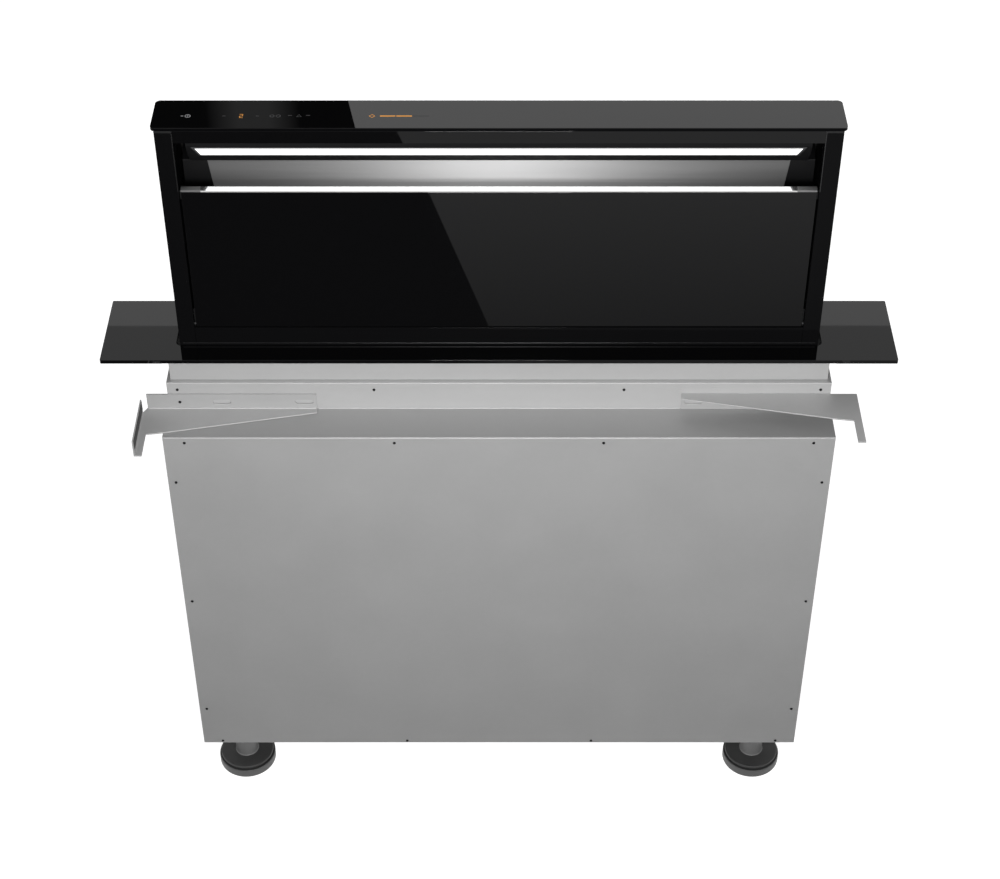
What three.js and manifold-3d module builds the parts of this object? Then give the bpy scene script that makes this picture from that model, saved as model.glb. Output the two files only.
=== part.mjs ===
// Downdraft vent for a kitchen worktop: a motor-driven glass tower that rises out of a
// slot in the worktop, over a sheet-steel casing that holds the lift, blower and outlet.
// Millimetres. X to the right, Y away from the cook, Z up. The origin is on the floor,
// under the middle of everything that the unit takes up.

import * as THREE from "three";
import { mergeVertices } from "three/addons/utils/BufferGeometryUtils.js";
import Module from "manifold-3d";

const manifoldLibrary = await Module();
manifoldLibrary.setup();

// ---------------------------------------------------------------- driving dimensions

const seat = 0.3; // gap between two faces that touch
const runningGap = 0.4; // gap between two faces that slide or turn
const circleSides = 32;
const smallSides = 20; // shafts, pins and pulleys

const sheet = 1.2; // casing sheet
const returnWidth = 12; // folded edges of the casing sheets
const cornerFlange = 18; // side panel flanges that the covers screw to

const footHeight = 90; // floor to the bottom of the casing
const footTravel = 30;
const footSideInset = 58.1; // foot centre from the casing's side
const footInset = 48.5; // foot centre from the front and back of the casing
const footRadius = 44.6;
const footUpperRadius = 41.8;
const footGrooveRadius = 40.4;
const footLowerHeight = 16;
const footGrooveHeight = 3.2;
const footBaseHeight = 23;
const footEdge = 2;
const stemRadius = 17.5;
const stemClearance = 0.5;

const casingWidth = 928.6;
const casingHeight = 636; // lower casing
const casingDepth = 199;
const neckOverhang = 1; // upper casing beyond the plate's front and back edges
const neckSideInset = 2.9;
const neckHeight = 46;
const collarSideInset = 8.3; // collar from the casing's side
const collarSetback = 5.75; // collar from the plate's front and back edges
const collarHeight = 33.2;
const collarFlange = 14;
const collarEndFlange = 4.5;

const plateOverhang = 84.7; // plate beyond the casing's side
const plateDepth = 135;
const plateThickness = 6;
const plateCorner = 2;
const slotEndGap = 1.5; // cap to the slot's ends
const slotSideGap = 1.5;
const slotCorner = 8.5;
const sealHeight = 6;
const sealWidth = 8;

const railSpace = 18.2; // tower to the inside of the neck's side
const towerDepth = 67;
const towerRise = 352; // plate top to the top of the cap
const towerTail = 150; // part of the tower that stays below the plate top
const towerTravel = 350;
const capEndOverhang = 4.4; // cap beyond the tower's ends
const capSideOverhang = 0.5;
const capThickness = 4;
const capCorner = 7;
const carrierThickness = 3;
const pillarWidth = 23;
const towerWall = 1.5;
const headerThickness = 2;
const headerHeight = 18.1;
const headerLip = 5.5;

const skirtHeight = 30.2; // plate top to the filter shelf
const shelfReach = 36;
const panelSideGap = 3;
const glassThickness = 5;
const glassBevel = 1.5;
const glassBottomGap = 1;
const glassTop = 254;
const panelTilt = 22 * Math.PI / 180; // slope of the rail's top face
const railFrontEdge = 2.2;
const railDepth = 6.5;
const railWeb = 1.2;
const railWebDrop = 16;
const hingeHeight = 4.3; // hinge axis above the glass's lower edge
const hingeSetback = 4; // hinge axis behind the tower's front
const hingePinRadius = 2;
const hingePinLength = 3;
const hingeDiscRadius = 3.8;
const hingeArm = 2;
const hingeLeafWidth = 20;
const hingeLeafHeight = 24;
const catchHeight = 14;
const catchDepth = 12.5;
const catchWidth = 7.5;

const filterThickness = 8;
const filterHeight = 206;
const filterMiddleGap = 3;
const filterSideGap = 9;
const filterRim = 10;
const filterRecess = 2;
const filterBack = 33.5; // back of the filters from the tower's front

const lensEndGap = 21; // lens to the pillar
const lensHeight = 19.6;
const lensMitre = 9;
const lensThickness = 3;
const lensTilt = 25.6 * Math.PI / 180; // lens off the upright, facing down
const lensSetback = 7.6; // lens's top edge behind the tower's front
const lensDrop = 33.3; // lens's top edge below the cap's top
const lampMargin = 6; // lamp housing beyond the lens's ends
const lampRim = 3; // lamp housing above and below the lens
const lampWall = 4;
const lampDepth = 35.2;
const lampBackHeight = 32;
const lampHeel = 18;

const guideSetback = 31.65; // upright face of the air guide behind the tower's front
const guideTop = 67.5; // its top fold below the cap's top
const guideBottom = 3; // its lower edge above the filters
const guideRise = 15.5;
const guideThickness = 1;
const guideEndGap = 5;

const railLength = 105; // inner rails
const middleRailLength = 285;
const railTopDrop = 45; // top of the raised rails below the plate top
const railGauge = 1.5;
const innerRailHalf = 9.5;
const innerRailReach = 7.7;
const middleRailLeg = 9;
const outerRailLeg = 15.5;

const barHeight = 25;
const barDepth = 30;
const barGauge = 2.5;
const frameStemGap = 18; // belt frame to the foot's stem
const beltWidth = 10;
const beltThickness = 1.5;
const beltSetback = 53.5; // belt loop's middle from the casing's front
const beltLowMargin = 10;
const pulleyRadius = 15;
const pulleyFlange = 1;
const pulleyFlangeReach = 3;
const shaftRadius = 5;
const shaftOverhang = 3;
const axleRadius = 4;
const frameInset = 7; // belt to its frame
const frameDepth = 52;
const frameLeg = 15;
const frameGauge = 2;
const clampJaw = 2;
const clampCheek = 2.7;
const clampWidth = 16;
const clampHeight = 10.3;

const gearboxHeight = 44;
const gearboxWidth = 40;
const gearboxDepth = 40;
const gearboxInset = 50; // gearbox middle from the belt
const liftMotorRadius = 18;
const liftMotorLength = 88;

const scrollWidth = 180;
const scrollWall = 1.5;
const scrollGap = 7; // impeller to the scroll's tongue
const scrollGrowth = 24; // how far the scroll opens from tongue to bottom
const tongueAngle = 50; // scroll's tongue, in degrees up from the outlet's direction
const scrollBottomAngle = 270; // its lowest point, on the same scale
const scrollSteps = 22;
const scrollLegHeight = 12;
const scrollLegLength = 60;
const scrollLegGauge = 2;
const impellerRadius = 65;
const impellerWidth = 150;
const impellerSetback = 90.5; // impeller axis from the casing's front
const bladeCount = 24;
const bladeDepth = 13;
const bladeThickness = 2;
const bladeLean = 35 * Math.PI / 180;
const impellerRing = 3;
const hubRadius = 12;
const inletRadius = 52;
const motorRadius = 42;
const motorLength = 60;
const motorStandoff = 14;
const motorArmAngles = [60, 180, 300];
const motorArmWidth = 12;
const motorArmReach = 68;
const motorShaftRadius = 4;
const motorShaftGrip = 30;

const spigotRadius = 75;
const spigotLength = 35;
const spigotWall = 1.5;
const spigotFlangeWidth = 15;
const damperPinRadius = 2;
const damperPinPlace = 19; // damper pin from the spigot's inner end
const flapThickness = 1;
const flapHingeGap = 0.5;
const flapRimGap = 0.9;

const controlBoxWidth = 34;
const controlBoxDepth = 66;
const controlBoxHeight = 160;
const controlBoxDrop = 75; // below the top of the lower casing
const controlBoxWall = 2;
const controlBoxSetback = 6;
const glandRadius = 12.5;
const glandBore = 4;
const glandLength = 12;
const glandInset = 84.3; // from the casing's side
const glandHeight = 160; // above the casing's bottom

const bracketGauge = 2;
const bracketHeight = 26.8;
const bracketLap = 210.3; // bracket over the casing's front, from its side
const bracketTail = 26.7; // strip beyond the casing's side
const bracketOverhang = 33.7; // end face beyond the casing's side
const bracketNarrow = 11.4;
const bracketWide = 53.5;
const bracketReach = 102.5; // end flange's tip from the neck's front
const bracketFinger = 11;
const bracketFlangeStart = 13;
const bracketSlope = 30; // length of the wide part, without taper
const bracketCorner = 8;

// ---------------------------------------------------------------- levels and planes

const casingBottom = footHeight;
const casingTop = casingBottom + casingHeight;
const neckTop = casingTop + neckHeight;
const collarBottom = neckTop + seat;
const collarTop = collarBottom + collarHeight;
const plateBottom = collarTop;
const plateTop = plateBottom + plateThickness;
const casingHalf = casingWidth / 2;
const sideInner = casingHalf - sheet;
const neckHalf = casingHalf - neckSideInset;
const neckInner = neckHalf - sheet;
const plateWidth = casingWidth + 2 * plateOverhang;
const collarWidth = casingWidth - 2 * collarSideInset;
const collarDepth = plateDepth - 2 * collarSetback;
const neckDepth = plateDepth + 2 * neckOverhang;
const casingBack = neckDepth / 2;
const casingFront = casingBack - casingDepth;
const neckFront = -neckDepth / 2;
const bracketFront = neckFront - bracketReach;
const bracketInnerEnd = casingHalf - bracketLap;
const bracketOuterEnd = casingHalf + bracketTail;
const bracketEndFace = casingHalf + bracketOverhang;
const spigotStart = casingBack + seat;
const spigotEnd = spigotStart + spigotLength;

const towerHalf = neckInner - railSpace;
const towerWidth = 2 * towerHalf;
const towerFront = -towerDepth / 2;
const towerBackPlane = towerDepth / 2;
const pillarInner = towerHalf - pillarWidth;
const capWidth = towerWidth + 2 * capEndOverhang;
const capDepth = towerDepth + 2 * capSideOverhang;
const slotWidth = capWidth + 2 * slotEndGap;
const slotDepth = capDepth + 2 * slotSideGap;
const capBottom = towerRise - capThickness;
const carrierTop = capBottom - seat;
const carrierBottom = carrierTop - carrierThickness;
const pillarTop = carrierBottom - seat;
const panelHalf = pillarInner - panelSideGap;
const glassBottom = skirtHeight + glassBottomGap;
const hingeY = towerFront + hingeSetback;
const hingeZ = glassBottom + hingeHeight;
const filterBottom = skirtHeight + seat;
const filterTop = filterBottom + filterHeight;

// ---------------------------------------------------------------- materials

function finish(color, roughness, metalness) {
  return new THREE.MeshStandardMaterial({ color, roughness, metalness, flatShading: true });
}

const materials = {
  blackGlass: finish(0x0b0b0d, 0.08, 0),
  blackSteel: finish(0x111112, 0.35, 0.3),
  galvanised: finish(0xa9a9a9, 0.5, 0.7),
  bracketSteel: finish(0xb4b4b4, 0.45, 0.7),
  stainless: finish(0xb8b8b6, 0.25, 1),
  lens: finish(0xffffff, 0.4, 0),
  blackPlastic: finish(0x1c1c1d, 0.6, 0),
  footPlastic: finish(0x3a3a3a, 0.6, 0),
  rubber: finish(0x151515, 0.9, 0),
  steel: finish(0x8f9194, 0.35, 1),
  filterMesh: finish(0x9b9c9c, 0.4, 1),
};

// ---------------------------------------------------------------- solids

function weld(geometry) {
  const bare = new THREE.BufferGeometry();
  bare.setAttribute("position", geometry.getAttribute("position"));
  bare.setIndex(geometry.getIndex());
  const merged = mergeVertices(bare, 1e-4);
  const index = merged.getIndex().array;
  const kept = [];
  for (let i = 0; i < index.length; i += 3) {
    const [a, b, c] = [index[i], index[i + 1], index[i + 2]];
    if (a !== b && b !== c && c !== a) kept.push(a, b, c);
  }
  merged.setIndex(kept);
  return merged;
}

function signedVolume(geometry) {
  const position = geometry.getAttribute("position");
  const index = geometry.getIndex().array;
  const corner = [new THREE.Vector3(), new THREE.Vector3(), new THREE.Vector3()];
  let volume = 0;
  for (let i = 0; i < index.length; i += 3) {
    corner.forEach((point, k) => point.fromBufferAttribute(position, index[i + k]));
    volume += corner[0].dot(corner[1].cross(corner[2])) / 6;
  }
  return volume;
}

function outward(geometry) {
  const solid = weld(geometry);
  if (signedVolume(solid) < 0) solid.setIndex([...solid.getIndex().array].reverse());
  return solid;
}

function toManifold(geometry) {
  const solid = outward(geometry);
  return new manifoldLibrary.Manifold(new manifoldLibrary.Mesh({
    numProp: 3,
    vertProperties: Float32Array.from(solid.getAttribute("position").array),
    triVerts: Uint32Array.from(solid.getIndex().array),
  }));
}

function fromManifold(manifold) {
  const mesh = manifold.getMesh();
  const geometry = new THREE.BufferGeometry();
  geometry.setAttribute("position", new THREE.BufferAttribute(mesh.vertProperties, 3));
  geometry.setIndex([...mesh.triVerts]);
  return geometry;
}

function join(...geometries) {
  return fromManifold(geometries.map(toManifold).reduce((a, b) => a.add(b)));
}

function cut(geometry, ...tools) {
  return fromManifold(tools.map(toManifold).reduce((a, b) => a.subtract(b), toManifold(geometry)));
}

// Box between two corners, given as [low, high] along each axis in either order.
function block([x0, x1], [y0, y1], [z0, z1]) {
  const size = [Math.abs(x1 - x0), Math.abs(y1 - y0), Math.abs(z1 - z0)];
  return new THREE.BoxGeometry(...size).translate((x0 + x1) / 2, (y0 + y1) / 2, (z0 + z1) / 2);
}

function shapeOf(points) {
  return new THREE.Shape(points.map(([a, b]) => new THREE.Vector2(a, b)));
}

const axisX = new THREE.Vector3(1, 0, 0);
const axisY = new THREE.Vector3(0, 1, 0);
const axisZ = new THREE.Vector3(0, 0, 1);

// Outline of [y, z] points, drawn out along X.
function prismX(points, [x0, x1]) {
  const solid = new THREE.ExtrudeGeometry(shapeOf(points), {
    depth: Math.abs(x1 - x0),
    bevelEnabled: false,
  });
  solid.applyMatrix4(new THREE.Matrix4().makeBasis(axisY, axisZ, axisX));
  return solid.translate(Math.min(x0, x1), 0, 0);
}

// Outline of [x, y] points, or a finished shape, drawn out along Z.
function prismZ(outline, [z0, z1]) {
  const shape = Array.isArray(outline) ? shapeOf(outline) : outline;
  const solid = new THREE.ExtrudeGeometry(shape, {
    depth: Math.abs(z1 - z0),
    bevelEnabled: false,
    curveSegments: 6,
  });
  return solid.translate(0, 0, Math.min(z0, z1));
}

function roundedRectangle(width, depth, radius, ShapeType = THREE.Shape) {
  const [x, y] = [width / 2, depth / 2];
  const shape = new ShapeType();
  shape.moveTo(-x + radius, -y);
  shape.lineTo(x - radius, -y);
  shape.absarc(x - radius, -y + radius, radius, -Math.PI / 2, 0, false);
  shape.lineTo(x, y - radius);
  shape.absarc(x - radius, y - radius, radius, 0, Math.PI / 2, false);
  shape.lineTo(-x + radius, y);
  shape.absarc(-x + radius, y - radius, radius, Math.PI / 2, Math.PI, false);
  shape.lineTo(-x, -y + radius);
  shape.absarc(-x + radius, -y + radius, radius, Math.PI, Math.PI * 3 / 2, false);
  return shape;
}

function ringZ(outer, inner, levels) {
  const shape = roundedRectangle(...outer);
  shape.holes.push(roundedRectangle(...inner, THREE.Path));
  return prismZ(shape, levels);
}

// Turned solid on the Z axis from [radius, height] points.
function turnedZ(points, sides = circleSides) {
  const profile = points.map(([r, h]) => new THREE.Vector2(r, h));
  return new THREE.LatheGeometry(profile, sides).rotateX(Math.PI / 2);
}

function closedRing(inner, outer, low, high) {
  return [[inner, low], [outer, low], [outer, high], [inner, high], [inner, low]];
}

function rod(radius, low, high) {
  return [[0, low], [radius, low], [radius, high], [0, high]];
}

function turnedX(points, sides = smallSides) {
  return turnedZ(points, sides).rotateY(Math.PI / 2);
}

function turnedY(points, sides) {
  return turnedZ(points, sides).rotateX(-Math.PI / 2);
}

function place(name, geometry, material, parent, position = [0, 0, 0]) {
  const solid = outward(geometry);
  solid.computeVertexNormals();
  const mesh = new THREE.Mesh(solid, material);
  mesh.name = name;
  mesh.position.set(...position);
  parent.add(mesh);
  return mesh;
}

const sides = [["left", -1], ["right", 1]];

// ---------------------------------------------------------------- groups

const unit = new THREE.Group();
unit.position.y = -(bracketFront + spigotEnd) / 2;

const casing = new THREE.Group();
const tower = new THREE.Group();
tower.position.z = plateTop;
const panel = new THREE.Group();
tower.add(panel);
unit.add(casing, tower);

// ---------------------------------------------------------------- worktop plate

// The underside is ground back over the casing, so that the wings rest on the worktop
// in the plane of the collar's top.
place(
  "worktop_plate",
  cut(
    ringZ([plateWidth, plateDepth, plateCorner], [slotWidth, slotDepth, slotCorner], [0, plateThickness]),
    block([-casingHalf, casingHalf], [-plateDepth, plateDepth], [-plateThickness, seat]),
  ),
  materials.blackGlass,
  casing,
  [0, 0, plateBottom],
);

const sealTop = plateBottom;
const sealInner = [towerWidth + 2 * runningGap, towerDepth + 2 * runningGap];
place(
  "slot_seal",
  ringZ(
    [sealInner[0] + 2 * sealWidth, sealInner[1] + 2 * sealWidth, sealWidth],
    [...sealInner, runningGap],
    [sealTop - sealHeight, sealTop],
  ),
  materials.rubber,
  casing,
);

// ---------------------------------------------------------------- collar

// Upright sheet with a flange folded in at its top, along the collar's front or back.
function collarLong(direction) {
  const outer = direction * collarDepth / 2;
  const inner = outer - direction * sheet;
  const half = collarWidth / 2;
  return join(
    block([-half, half], [outer, inner], [collarBottom, collarTop]),
    block([-half, half], [outer, outer - direction * collarFlange], [collarTop - sheet, collarTop]),
  );
}

function collarEnd(direction) {
  const outer = direction * collarWidth / 2;
  const inner = outer - direction * sheet;
  const half = collarDepth / 2 - sheet - seat;
  const flangeHalf = collarDepth / 2 - collarFlange - seat;
  return join(
    block([outer, inner], [-half, half], [collarBottom, collarTop - sheet - seat]),
    block([outer, inner], [-flangeHalf, flangeHalf], [collarBottom, collarTop]),
    block(
      [outer, outer - direction * collarEndFlange],
      [-flangeHalf, flangeHalf],
      [collarTop - sheet, collarTop],
    ),
  );
}

place("collar_front", collarLong(-1), materials.galvanised, casing);
place("collar_rear", collarLong(1), materials.galvanised, casing);
for (const [name, side] of sides) {
  place(`collar_end_${name}`, collarEnd(side), materials.galvanised, casing);
}

// ---------------------------------------------------------------- casing sheets

const panTop = casingBottom + sheet;
const ledgeUnderside = casingTop - sheet;
const coverTop = ledgeUnderside - seat;

place(
  "upper_housing_front",
  join(
    block([-neckHalf, neckHalf], [neckFront, neckFront + sheet], [casingTop, neckTop]),
    block([-neckHalf, neckHalf], [neckFront, neckFront + returnWidth], [neckTop - sheet, neckTop]),
  ),
  materials.galvanised,
  casing,
);

place(
  "ledge_panel",
  block([-casingHalf, casingHalf], [casingFront, neckFront - seat], [ledgeUnderside, casingTop]),
  materials.galvanised,
  casing,
);

place(
  "front_cover",
  join(
    block([-casingHalf, casingHalf], [casingFront, casingFront + sheet], [casingBottom, coverTop]),
    block(
      [-casingHalf, casingHalf],
      [casingFront, casingFront + returnWidth],
      [coverTop - sheet, coverTop],
    ),
  ),
  materials.galvanised,
  casing,
);

const flangeFront = casingFront + sheet + seat;
const neckFlangeFront = neckFront + sheet + seat;
const flangeBack = casingBack - sheet - seat;
const flangeLow = panTop + seat;
const returnLow = neckTop - sheet;

function sidePanel(direction) {
  const outer = direction * casingHalf;
  const inner = outer - direction * sheet;
  const flange = outer - direction * cornerFlange;
  const neck = direction * neckHalf;
  const neckFace = neck - direction * sheet;
  const neckFlange = neck - direction * cornerFlange;
  const lowTop = coverTop - sheet - seat;
  const topFlange = neck - direction * (returnWidth + sheet);
  const topHalf = neckDepth / 2 - returnWidth - seat;
  return join(
    block([outer, inner], [flangeFront, flangeBack], [casingBottom, lowTop]),
    block([outer, flange], [flangeFront, flangeFront + sheet], [flangeLow, lowTop]),
    block([outer, flange], [flangeBack - sheet, flangeBack], [flangeLow, lowTop]),
    block([outer, neckFace], [neckFlangeFront, flangeBack], [lowTop - sheet, lowTop]),
    block([neck, neckFace], [neckFlangeFront, flangeBack], [lowTop - sheet, returnLow - seat]),
    block(
      [neck, neckFlange],
      [neckFlangeFront, neckFlangeFront + sheet],
      [casingTop + seat, returnLow - seat],
    ),
    block([neck, neckFlange], [flangeBack - sheet, flangeBack], [lowTop, returnLow - seat]),
    block([neck, neckFace], [-topHalf, topHalf], [returnLow - 2 * seat, neckTop]),
    block([neck, topFlange], [-topHalf, topHalf], [returnLow, neckTop]),
  );
}

for (const [name, side] of sides) {
  place(`side_panel_${name}`, sidePanel(side), materials.galvanised, casing);
}

const footX = casingHalf - footSideInset;
const footRows = [["front", casingFront + footInset], ["rear", casingBack - footInset]];
const stemHole = stemRadius + stemClearance;

const panFlangeHalf = casingHalf - cornerFlange - seat;
const panHalf = sideInner - seat;
const panFlangeTop = casingBottom + returnWidth;
const scrollNotch = block(
  [-scrollWidth / 2 - seat, scrollWidth / 2 + seat],
  [flangeBack - sheet - seat, flangeBack + seat],
  [panTop, panFlangeTop + seat],
);
const stemHoles = footRows.flatMap(([, y]) => sides.map(([, side]) =>
  turnedZ(rod(stemHole, casingBottom - sheet, panTop + sheet)).translate(side * footX, y, 0)));
place(
  "bottom_pan",
  cut(
    join(
      block([-panHalf, panHalf], [flangeFront, flangeBack], [casingBottom, panTop]),
      block(
        [-panFlangeHalf, panFlangeHalf],
        [flangeFront, flangeFront + sheet],
        [casingBottom, panFlangeTop],
      ),
      block(
        [-panFlangeHalf, panFlangeHalf],
        [flangeBack - sheet, flangeBack],
        [casingBottom, panFlangeTop],
      ),
    ),
    ...stemHoles,
    scrollNotch,
  ),
  materials.galvanised,
  casing,
);

// ---------------------------------------------------------------- blower and outlet

const impellerY = casingFront + impellerSetback;
const scrollReach = impellerRadius + scrollGap + scrollGrowth;
const scrollLow = panTop + seat + scrollLegHeight;
const impellerZ = scrollLow + scrollWall + scrollReach;
const scrollRear = casingBack - sheet - seat;

// Scroll radius, opening steadily from the tongue over the top and front to the bottom.
function scrollRadius(degrees) {
  const opened = (degrees - tongueAngle) / (scrollBottomAngle - tongueAngle);
  return impellerRadius + scrollGap + scrollGrowth * opened;
}

// Outline of the scroll in [y, z], grown by the wall, out to the rear outlet.
function scrollOutline(grow, rear) {
  const points = [];
  for (let step = 0; step <= scrollSteps; step++) {
    const degrees = tongueAngle + (scrollBottomAngle - tongueAngle) * step / scrollSteps;
    const angle = THREE.MathUtils.degToRad(degrees);
    const radius = scrollRadius(degrees) + grow;
    points.push([impellerY + radius * Math.cos(angle), impellerZ + radius * Math.sin(angle)]);
  }
  const tongueZ = points[0][1];
  points.push([rear, impellerZ - scrollReach - grow], [rear, tongueZ]);
  return points;
}

const outletTop = scrollOutline(0, scrollRear)[0][1];
const outletZ = (impellerZ - scrollReach + outletTop) / 2;
const scrollHalf = scrollWidth / 2;
const scrollLegs = sides.map(([, side]) => block(
  [side * scrollHalf, side * (scrollHalf - scrollLegGauge)],
  [impellerY, impellerY + scrollLegLength],
  [panTop + seat, scrollLow + scrollWall],
));
place(
  "blower_scroll",
  cut(
    join(prismX(scrollOutline(scrollWall, scrollRear), [-scrollHalf, scrollHalf]), ...scrollLegs),
    prismX(
      scrollOutline(0, scrollRear + scrollWall),
      [-scrollHalf + scrollWall, scrollHalf - scrollWall],
    ),
    turnedX(rod(inletRadius, -scrollWidth, scrollWidth), circleSides)
      .translate(0, impellerY, impellerZ),
  ),
  materials.galvanised,
  casing,
);

const outletBore = spigotRadius - spigotWall;
place(
  "rear_panel",
  cut(
    join(
      block([-casingHalf, casingHalf], [casingBack - sheet, casingBack], [casingBottom, casingTop]),
      block([-neckHalf, neckHalf], [casingBack - sheet, casingBack], [casingTop - sheet, neckTop]),
      block([-neckHalf, neckHalf], [casingBack - returnWidth, casingBack], [neckTop - sheet, neckTop]),
    ),
    turnedY(rod(outletBore, 0, casingBack + sheet)).translate(0, 0, outletZ),
  ),
  materials.galvanised,
  casing,
);

const damperY = spigotStart + damperPinPlace;
place(
  "outlet_spigot",
  join(
    turnedY(closedRing(outletBore, spigotRadius, 0, spigotLength)),
    turnedY(closedRing(outletBore, spigotRadius + spigotFlangeWidth, 0, spigotWall)),
    turnedZ(rod(damperPinRadius, -outletBore - spigotWall / 2, outletBore + spigotWall / 2), smallSides)
      .translate(0, damperPinPlace, 0),
  ),
  materials.galvanised,
  casing,
  [0, spigotStart, outletZ],
);

// Half disc that closes one side of the spigot, hinged on the upright pin.
function flapOutline(side) {
  const radius = outletBore - flapRimGap;
  const hinge = damperPinRadius + flapHingeGap;
  const limit = Math.acos(hinge / radius);
  const points = [];
  for (let step = 0; step <= circleSides / 2; step++) {
    const angle = -limit + 2 * limit * step / (circleSides / 2);
    points.push([side * radius * Math.cos(angle), radius * Math.sin(angle)]);
  }
  return points;
}

for (const [name, side] of sides) {
  const flap = prismZ(flapOutline(side), [-flapThickness / 2, flapThickness / 2]).rotateX(Math.PI / 2);
  place(`damper_flap_${name}`, flap, materials.steel, casing, [0, damperY, outletZ]);
}

// Blade standing at the impeller's rim, leaning forward in the direction of rotation.
function blade(number) {
  const plate = block(
    [-impellerWidth / 2, impellerWidth / 2],
    [-bladeDepth / 2, bladeDepth / 2],
    [-bladeThickness / 2, bladeThickness / 2],
  );
  const middle = impellerRadius - bladeDepth / 2 - bladeThickness;
  return plate.rotateX(bladeLean).translate(0, middle, 0).rotateX(2 * Math.PI * number / bladeCount);
}

const rimInner = impellerRadius - bladeDepth - bladeThickness;
const impellerEnd = impellerWidth / 2;
const motorStart = scrollHalf + seat + motorStandoff;
place(
  "impeller",
  join(
    turnedX(rod(rimInner + bladeDepth, -impellerRing / 2, impellerRing / 2), circleSides),
    turnedX(closedRing(rimInner, impellerRadius, -impellerEnd, impellerRing - impellerEnd), circleSides),
    turnedX(closedRing(rimInner, impellerRadius, impellerEnd - impellerRing, impellerEnd), circleSides),
    turnedX(rod(hubRadius, -hubRadius, hubRadius)),
    turnedX(rod(motorShaftRadius, 0, motorStart + motorShaftGrip - seat)),
    ...Array.from({ length: bladeCount }, (_, number) => blade(number)),
  ),
  materials.blackPlastic,
  casing,
  [0, impellerY, impellerZ],
);

const motorArms = motorArmAngles.map((angle) => join(
  block(
    [scrollHalf + seat, motorStart + sheet],
    [motorArmReach - motorArmWidth, motorArmReach],
    [-motorArmWidth / 2, motorArmWidth / 2],
  ),
  block([motorStart, motorStart + sheet], [0, motorArmReach], [-motorArmWidth / 2, motorArmWidth / 2]),
).rotateX(THREE.MathUtils.degToRad(angle)));
place(
  "blower_motor",
  cut(
    join(turnedX(rod(motorRadius, motorStart, motorStart + motorLength)), ...motorArms),
    turnedX(rod(motorShaftRadius + runningGap, 0, motorStart + motorShaftGrip)),
  ),
  materials.steel,
  casing,
  [0, impellerY, impellerZ],
);

// ---------------------------------------------------------------- mains and controls

const controlTop = casingTop - controlBoxDrop;
const controlFront = flangeFront + controlBoxSetback;
const controlOuter = -sideInner + seat;
place(
  "control_box",
  cut(
    block(
      [controlOuter, controlOuter + controlBoxWidth],
      [controlFront, controlFront + controlBoxDepth],
      [controlTop - controlBoxHeight, controlTop],
    ),
    block(
      [controlOuter + controlBoxWall, controlOuter + controlBoxWidth - controlBoxWall],
      [controlFront + controlBoxWall, controlFront + controlBoxDepth - controlBoxWall],
      [controlTop - controlBoxHeight - controlBoxWall, controlTop - controlBoxWall],
    ),
  ),
  materials.blackPlastic,
  casing,
);

place(
  "mains_inlet",
  turnedY(closedRing(glandBore, glandRadius, 0, glandLength), smallSides),
  materials.blackPlastic,
  casing,
  [glandInset - casingHalf, casingBack + seat, casingBottom + glandHeight],
);

// ---------------------------------------------------------------- mounting brackets

// Left bracket: upright strip on the neck, tapered flange at its foot, and a flange
// folded up at the outer end. The right one is turned over and its outer end stays flat.
function mountingBracket(endFolded) {
  const strip = block(
    [-bracketOuterEnd, -bracketInnerEnd],
    [0, -bracketGauge],
    [0, bracketHeight],
  );
  const endCorner = endFolded
    ? [[-bracketEndFace, -bracketFlangeStart], [-bracketOuterEnd, 0]]
    : [[-bracketEndFace, 0]];
  const flange = prismZ([
    [-bracketInnerEnd, 0],
    [-bracketInnerEnd, -bracketNarrow],
    [-bracketOuterEnd + bracketSlope, -bracketWide],
    [-bracketEndFace + bracketFinger, -bracketWide - bracketCorner / 2],
    [-bracketEndFace + bracketFinger, -bracketReach + seat],
    [-bracketEndFace, -bracketReach + seat],
    ...endCorner,
  ], [0, bracketGauge]);
  if (!endFolded) return join(strip, flange);
  const endFlange = block(
    [-bracketEndFace, -bracketEndFace + bracketGauge],
    [-bracketReach + seat, -bracketFlangeStart],
    [0, bracketHeight],
  );
  return join(strip, flange, endFlange);
}

const bracketLeft = place("mounting_bracket_left", mountingBracket(true), materials.bracketSteel, casing);
bracketLeft.position.set(0, neckFront - seat, casingTop + seat);
const bracketRight = place(
  "mounting_bracket_right",
  mountingBracket(false),
  materials.bracketSteel,
  casing,
);
bracketRight.rotation.y = Math.PI;
bracketRight.position.set(0, neckFront - seat, casingTop + seat + bracketHeight);

// ---------------------------------------------------------------- feet

const footProfile = [
  [0, 0],
  [footRadius - footEdge, 0],
  [footRadius, footEdge],
  [footRadius, footLowerHeight - footEdge],
  [footRadius - footEdge, footLowerHeight],
  [footGrooveRadius, footLowerHeight],
  [footGrooveRadius, footLowerHeight + footGrooveHeight],
  [footUpperRadius, footLowerHeight + footGrooveHeight],
  [footUpperRadius, footBaseHeight - footEdge],
  [footUpperRadius - footEdge, footBaseHeight],
  [stemRadius, footBaseHeight],
  [stemRadius, footHeight + footTravel + footEdge],
  [0, footHeight + footTravel + footEdge],
];
for (const [row, y] of footRows) {
  for (const [name, side] of sides) {
    place(`foot_${row}_${name}`, turnedZ(footProfile), materials.footPlastic, casing, [side * footX, y, 0]);
  }
}

// ---------------------------------------------------------------- tower

place(
  "cap_glass",
  prismZ(roundedRectangle(capWidth, capDepth, capCorner), [capBottom, towerRise]),
  materials.blackGlass,
  tower,
);

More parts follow.
